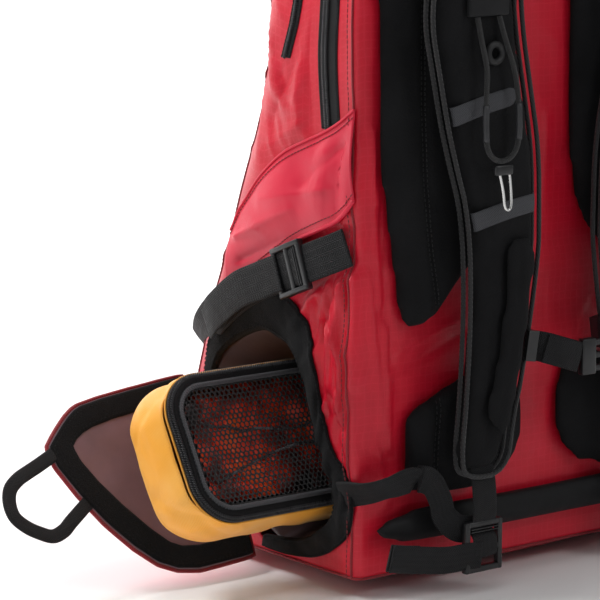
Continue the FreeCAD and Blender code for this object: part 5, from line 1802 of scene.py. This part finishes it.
class ShoulderStrapOperator(bpy.types.Operator):
    """The shoulder straps: padded strap, binding, bands, sleeve, ladder lock and webbing."""
    bl_idname = "backpack.shoulder_straps"
    bl_label = "Shoulder straps"

    def band(self, name, corners, body, side):
        a, b, c, d = [np.array((p[0], STRAP_FRONT, p[1]), float) for p in corners]
        lower = evenly(np.array([b, a]), 40)
        upper = evenly(np.array([c, d]), 40)
        wrap = np.sin(np.linspace(0, math.pi, 40)) ** 0.25
        for line in (lower, upper):
            line[:, 1] = STRAP_FRONT - 2.4 + 3.0 * wrap
            line[:, 2] += 1.2 * np.sin(np.linspace(0, math.pi, 40))
        points = between(lower, upper, 12)
        points[..., 1] += 0.7 * np.sin(np.linspace(0, math.pi, 12))[:, None] ** 0.5
        piece = grid(name, points, outward=-1)
        add_thickness(piece, 1.0)
        return piece

    def one(self, side, body):
        pad = sewn_pad("shoulder_pad_" + side, STRAP, STRAP_BACK, STRAP_FRONT, 3.2,
                       [rounded(((77, 440), (92, 395), (96, 366), (88, 325), (76, 262), (67, 215), (68, 150),
                                 (71, 96)), False, 2)], 1.2, 2.4)
        edge = evenly(rounded(STRAP, True, 2), 320, True)
        binding = []
        for shrink, y in ((0.0, STRAP_FRONT - 2.6), (0.0, STRAP_BACK + 2.4)):
            line = np.stack([edge[:, 0], np.full(len(edge), y), edge[:, 1]], 1)
            binding.append(cord_mesh("edge", line, 1.6, closed=True, around=10))
        binding = joined("shoulder_binding_" + side, binding)
        bands = joined("shoulder_bands_" + side, [self.band("band", UPPER_BAND, body, side),
                                                  self.band("band", LOWER_BAND, body, side)])
        lock = lock_shape("ladder_" + side, 34, 31, 5.4, (0, 0.46, 1))
        turned(lock, place(72.5, STRAP_BACK + 9, 30.5, Matrix.Rotation(math.radians(90), 4, "Z")
                           @ Matrix.Rotation(math.radians(90), 4, "X")))
        y = STRAP_BACK
        upright = (1, 0, 0)
        level = (0, 0.1, 1)
        webs = [
            sweep("end", ((69.5, y + 4, 82), (70, y + 7, 72), (71, y + 9.5, 60), (72, y + 10.6, 50),
                          (72.4, y + 9, 44), (72.4, y + 6.4, 40)), (upright,) * 6, 20, 1.9, 50),
            sweep("under", ((72.5, y + 6.2, 22), (72.5, y + 11.8, 25), (72.5, y + 12.4, 31),
                            (72.5, y + 11, 37), (72.6, y + 6.4, 41)), (upright,) * 5, 20, 1.7, 50),
            sweep("tail", ((76, y + 12.2, 25.5), (88.5, y + 11, 25.6), (106, y + 10.2, 26),
                           (126, y + 8.2, 29), (144.5, y + 4.6, 32)), (level,) * 5, 18.5, 2.2, 60),
            sweep("fold", ((145, y + 2.2, 32.1), (136, y + 3.6, 30.4), (124, y + 5.6, 28.7)), (level,) * 3,
                  18.3, 1.8, 30),
            sweep("anchor", ((60, y + 3.2, 473), (60, y + 2.8, 468), (60, y + 2.4, 462)), (upright,) * 3,
                  44, 3.0, 16),
        ]
        webs = joined("shoulder_webbing_" + side, webs)
        return pad, binding, bands, lock, webs

    def execute(self, context):
        names = (("strap_pad", "pad", "pad_mesh"), (None, "knit", "webbing"),
                 ("strap_bands", "band", "grey_webbing"),
                 ("ladder_lock", "plastic", "buckle_plastic"), ("strap_webbing", "fine_webbing", "webbing"))
        made = self.one("right", "shoulder_strap_right")
        for piece, (node, finish, slot) in zip(made, names):
            twin = flipped(piece.name.replace("right", "left"), piece)
            for item, side in ((piece, "right"), (twin, "left")):
                nodes = (node + "_" + side,) if node else ()
                dress(item, finish, "shoulder_strap_" + side, slot, *nodes)
        sleeve = sewn_pad("cord_tube_sleeve", SLEEVE, STRAP_FRONT - 0.4, STRAP_FRONT + 8, 2.6,
                          [rounded(((50, 236), (52, 190), (64, 128), (71, 104)), False, 2)], 1.0, 2.0)
        dress(sleeve, "pad", "shoulder_strap_right", "pad_mesh", "tube_sleeve")
        lower = sweep("lower_webbing_cloth_right",
                      ((150.8, -22, 64.5), (150.9, -14, 66.4), (150.8, -4, 69), (147.5, 10.5, 72),
                       (138, 19.5, 76),
                       (121, 22, 79), (107, 22, 75), (99.5, 23.0, 62), (97.5, 24.5, 52), (90, 27.5, 44),
                       (80, 30.0, 41.5)),
                      ((0, 0, 1), (0, 0, 1), (0, 0, 1), (0, 0, 1), (0, 0, 1), (0, 0, 1), (0.35, 0, 1),
                       (0.95, 0, 0.4), (1, 0, 0.1), (0.6, 0, -0.8), (0.3, 0, -1)), 18, 2.0, 110)
        left = flipped("lower_webbing_cloth_left", lower)
        for piece, side, sign in ((lower, "right", 1), (left, "left", -1)):
            piece.data.materials.clear()
            piece.data.materials.append(finish_of("fine_webbing"))
            tuple(metres((148 * sign, 10, 72)))
            tuple(metres((98 * sign, 24, 50)))
            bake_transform(piece)
            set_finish(piece, "webbing")
            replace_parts(piece, "lower_webbing_" + side)
        anchor = moulded("strap_anchor_right", [((40, PAD_FRONT + 0.2, 478.5), (84, PAD_FRONT + 3.0, 482))],
                         1.0)
        dress(anchor, "webbing", "bag", "webbing", "strap_anchors")
        dress(flipped("strap_anchor_left", anchor), "webbing", "bag", "webbing")
        return {"FINISHED"}


# ------------------------------------------------------------------ sternum strap and haul loop
class SternumOperator(bpy.types.Operator):
    """The sternum strap's keepers, webbing and side-release buckle."""
    bl_idname = "backpack.sternum"
    bl_label = "Sternum strap"

    def execute(self, context):
        up = (0, 0, 1)
        right = sweep("sternum_web_right", ((31, 30.5, 157), (24, 37, 155.5), (14, 41.3, 152),
                                            (5, 43.2, 149), (-1, 44.3, 147)), (up,) * 5, 20, 2.0, 60)
        fold = sweep("sternum_fold", ((25, 39.0, 155.4), (14, 43.8, 151.8), (5, 45.3, 148.8),
                                      (1, 45.6, 147.6)),
                     (up,) * 4, 19.6, 1.8, 40)
        dress(joined("sternum_webbing_cloth_right", [right, fold]), "fine_webbing", "sternum_right",
              "webbing", "sternum_webbing_right")
        left = sweep("sternum_webbing_cloth_left",
                     ((-30.0, 30.5, 158), (-30.2, 36.4, 157.6), (-33.4, 39.5, 156.2), (-43, 39.4, 153),
                      (-56, 39.1, 148.8)),
                     ((0.17, 0, 1), (0.17, 0, 1), (0.1, 0, 1), (-0.2, 0, 1), (-0.3, 0, 1)), 20, 1.7, 60)
        dress(left, "fine_webbing", "sternum_left", "webbing", "sternum_webbing_left")
        male = moulded("sternum_male", [((-13, 41.4, 135.0), (-1.3, 47.1, 159)), ((-26.8, 42.4, 136.5),
                                        (-12, 46.2, 140.5)), ((-26.8, 42.4, 153.5), (-12, 46.2, 157.5)),
                                        ((-24, 42.8, 145), (-12, 45.8, 149))], 1.1)
        dress(male, "plastic", "sternum_right", "buckle_plastic", "sternum_buckle_male")
        female = moulded("sternum_female", [((-30, -2.8, -12.3), (-25.6, 2.8, 12.3)), ((-30, -2.8, -12.3),
                                            (-0.2, 2.8, -7.6)), ((-30, -2.8, 7.6), (-0.2, 2.8, 12.3)),
                                            ((-20, -2.2, -10), (-6, 2.5, 10)),
                                            ((-8, -2.6, -12.3), (-0.2, 2.7, 12.3))],
                         1.3, shift=0)
        turned(female, place(-55.6, STRAP_FRONT + 4, 148.5, Matrix.Rotation(math.radians(-17), 4, "Y")))
        dress(female, "plastic", "sternum_left", "buckle_plastic", "sternum_buckle_female")
        for side in ("right", "left"):
            dress_node("sternum_keeper_" + side, "plastic")
        return {"FINISHED"}


class HaulLoopOperator(bpy.types.Operator):
    """The haul loop on the crown."""
    bl_idname = "backpack.haul_loop"
    bl_label = "Haul loop"

    def execute(self, context):
        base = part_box("haul_loop")[0].z / MM
        line, sides, widths = [], [], []
        for x, rise, width in ((-30, 0.4, 6), (-29.4, 14, 12), (-22, 27, 20), (0, 31.6, 22), (22, 27, 20),
                               (29.4, 14, 12), (30, 0.4, 6)):
            line.append((x, -45.0, base + rise))
            sides.append((0, 1, 0))
            widths.append(width)
        loop = sweep("haul_webbing", line, sides, widths, 3.2, 90)
        dress(loop, "webbing", "haul_grip", "webbing", "haul_loop")
        return {"FINISHED"}


OPERATORS = (StageOperator, CordOperator, BagOperator, PanelsOperator, ZipsOperator, HarnessSideOperator,
             InsideOperator, PouchOperator, FlapOperator, CompressionOperator, ShoulderStrapOperator,
             SternumOperator, HaulLoopOperator)


class BackpackPanel(bpy.types.Panel):
    """Lists the backpack's sizes, colours and pieces."""
    bl_idname = "VIEW3D_PT_ski_backpack"
    bl_label = "Ski backpack"
    bl_space_type = "VIEW_3D"
    bl_region_type = "UI"
    bl_category = "Ski backpack"

    def draw(self, context):
        layout = self.layout
        for group in (context.scene.backpack_sizes, context.scene.backpack_colours):
            box = layout.box()
            for key in group.__annotations__:
                box.prop(group, key)
        for operator in OPERATORS:
            layout.operator(operator.bl_idname)


CLASSES = (BackpackSizes, BackpackColours) + OPERATORS + (BackpackPanel,)


def register():
    for item in CLASSES:
        bpy.utils.register_class(item)
    bpy.types.Scene.backpack_sizes = bpy.props.PointerProperty(type=BackpackSizes)
    bpy.types.Scene.backpack_colours = bpy.props.PointerProperty(type=BackpackColours)


def unregister():
    del bpy.types.Scene.backpack_sizes
    del bpy.types.Scene.backpack_colours
    for item in reversed(CLASSES):
        bpy.utils.unregister_class(item)


def main():
    register()
    for operator in OPERATORS:
        group, name = operator.bl_idname.split(".")
        getattr(getattr(bpy.ops, group), name)()


if __name__ == "__main__":
    main()
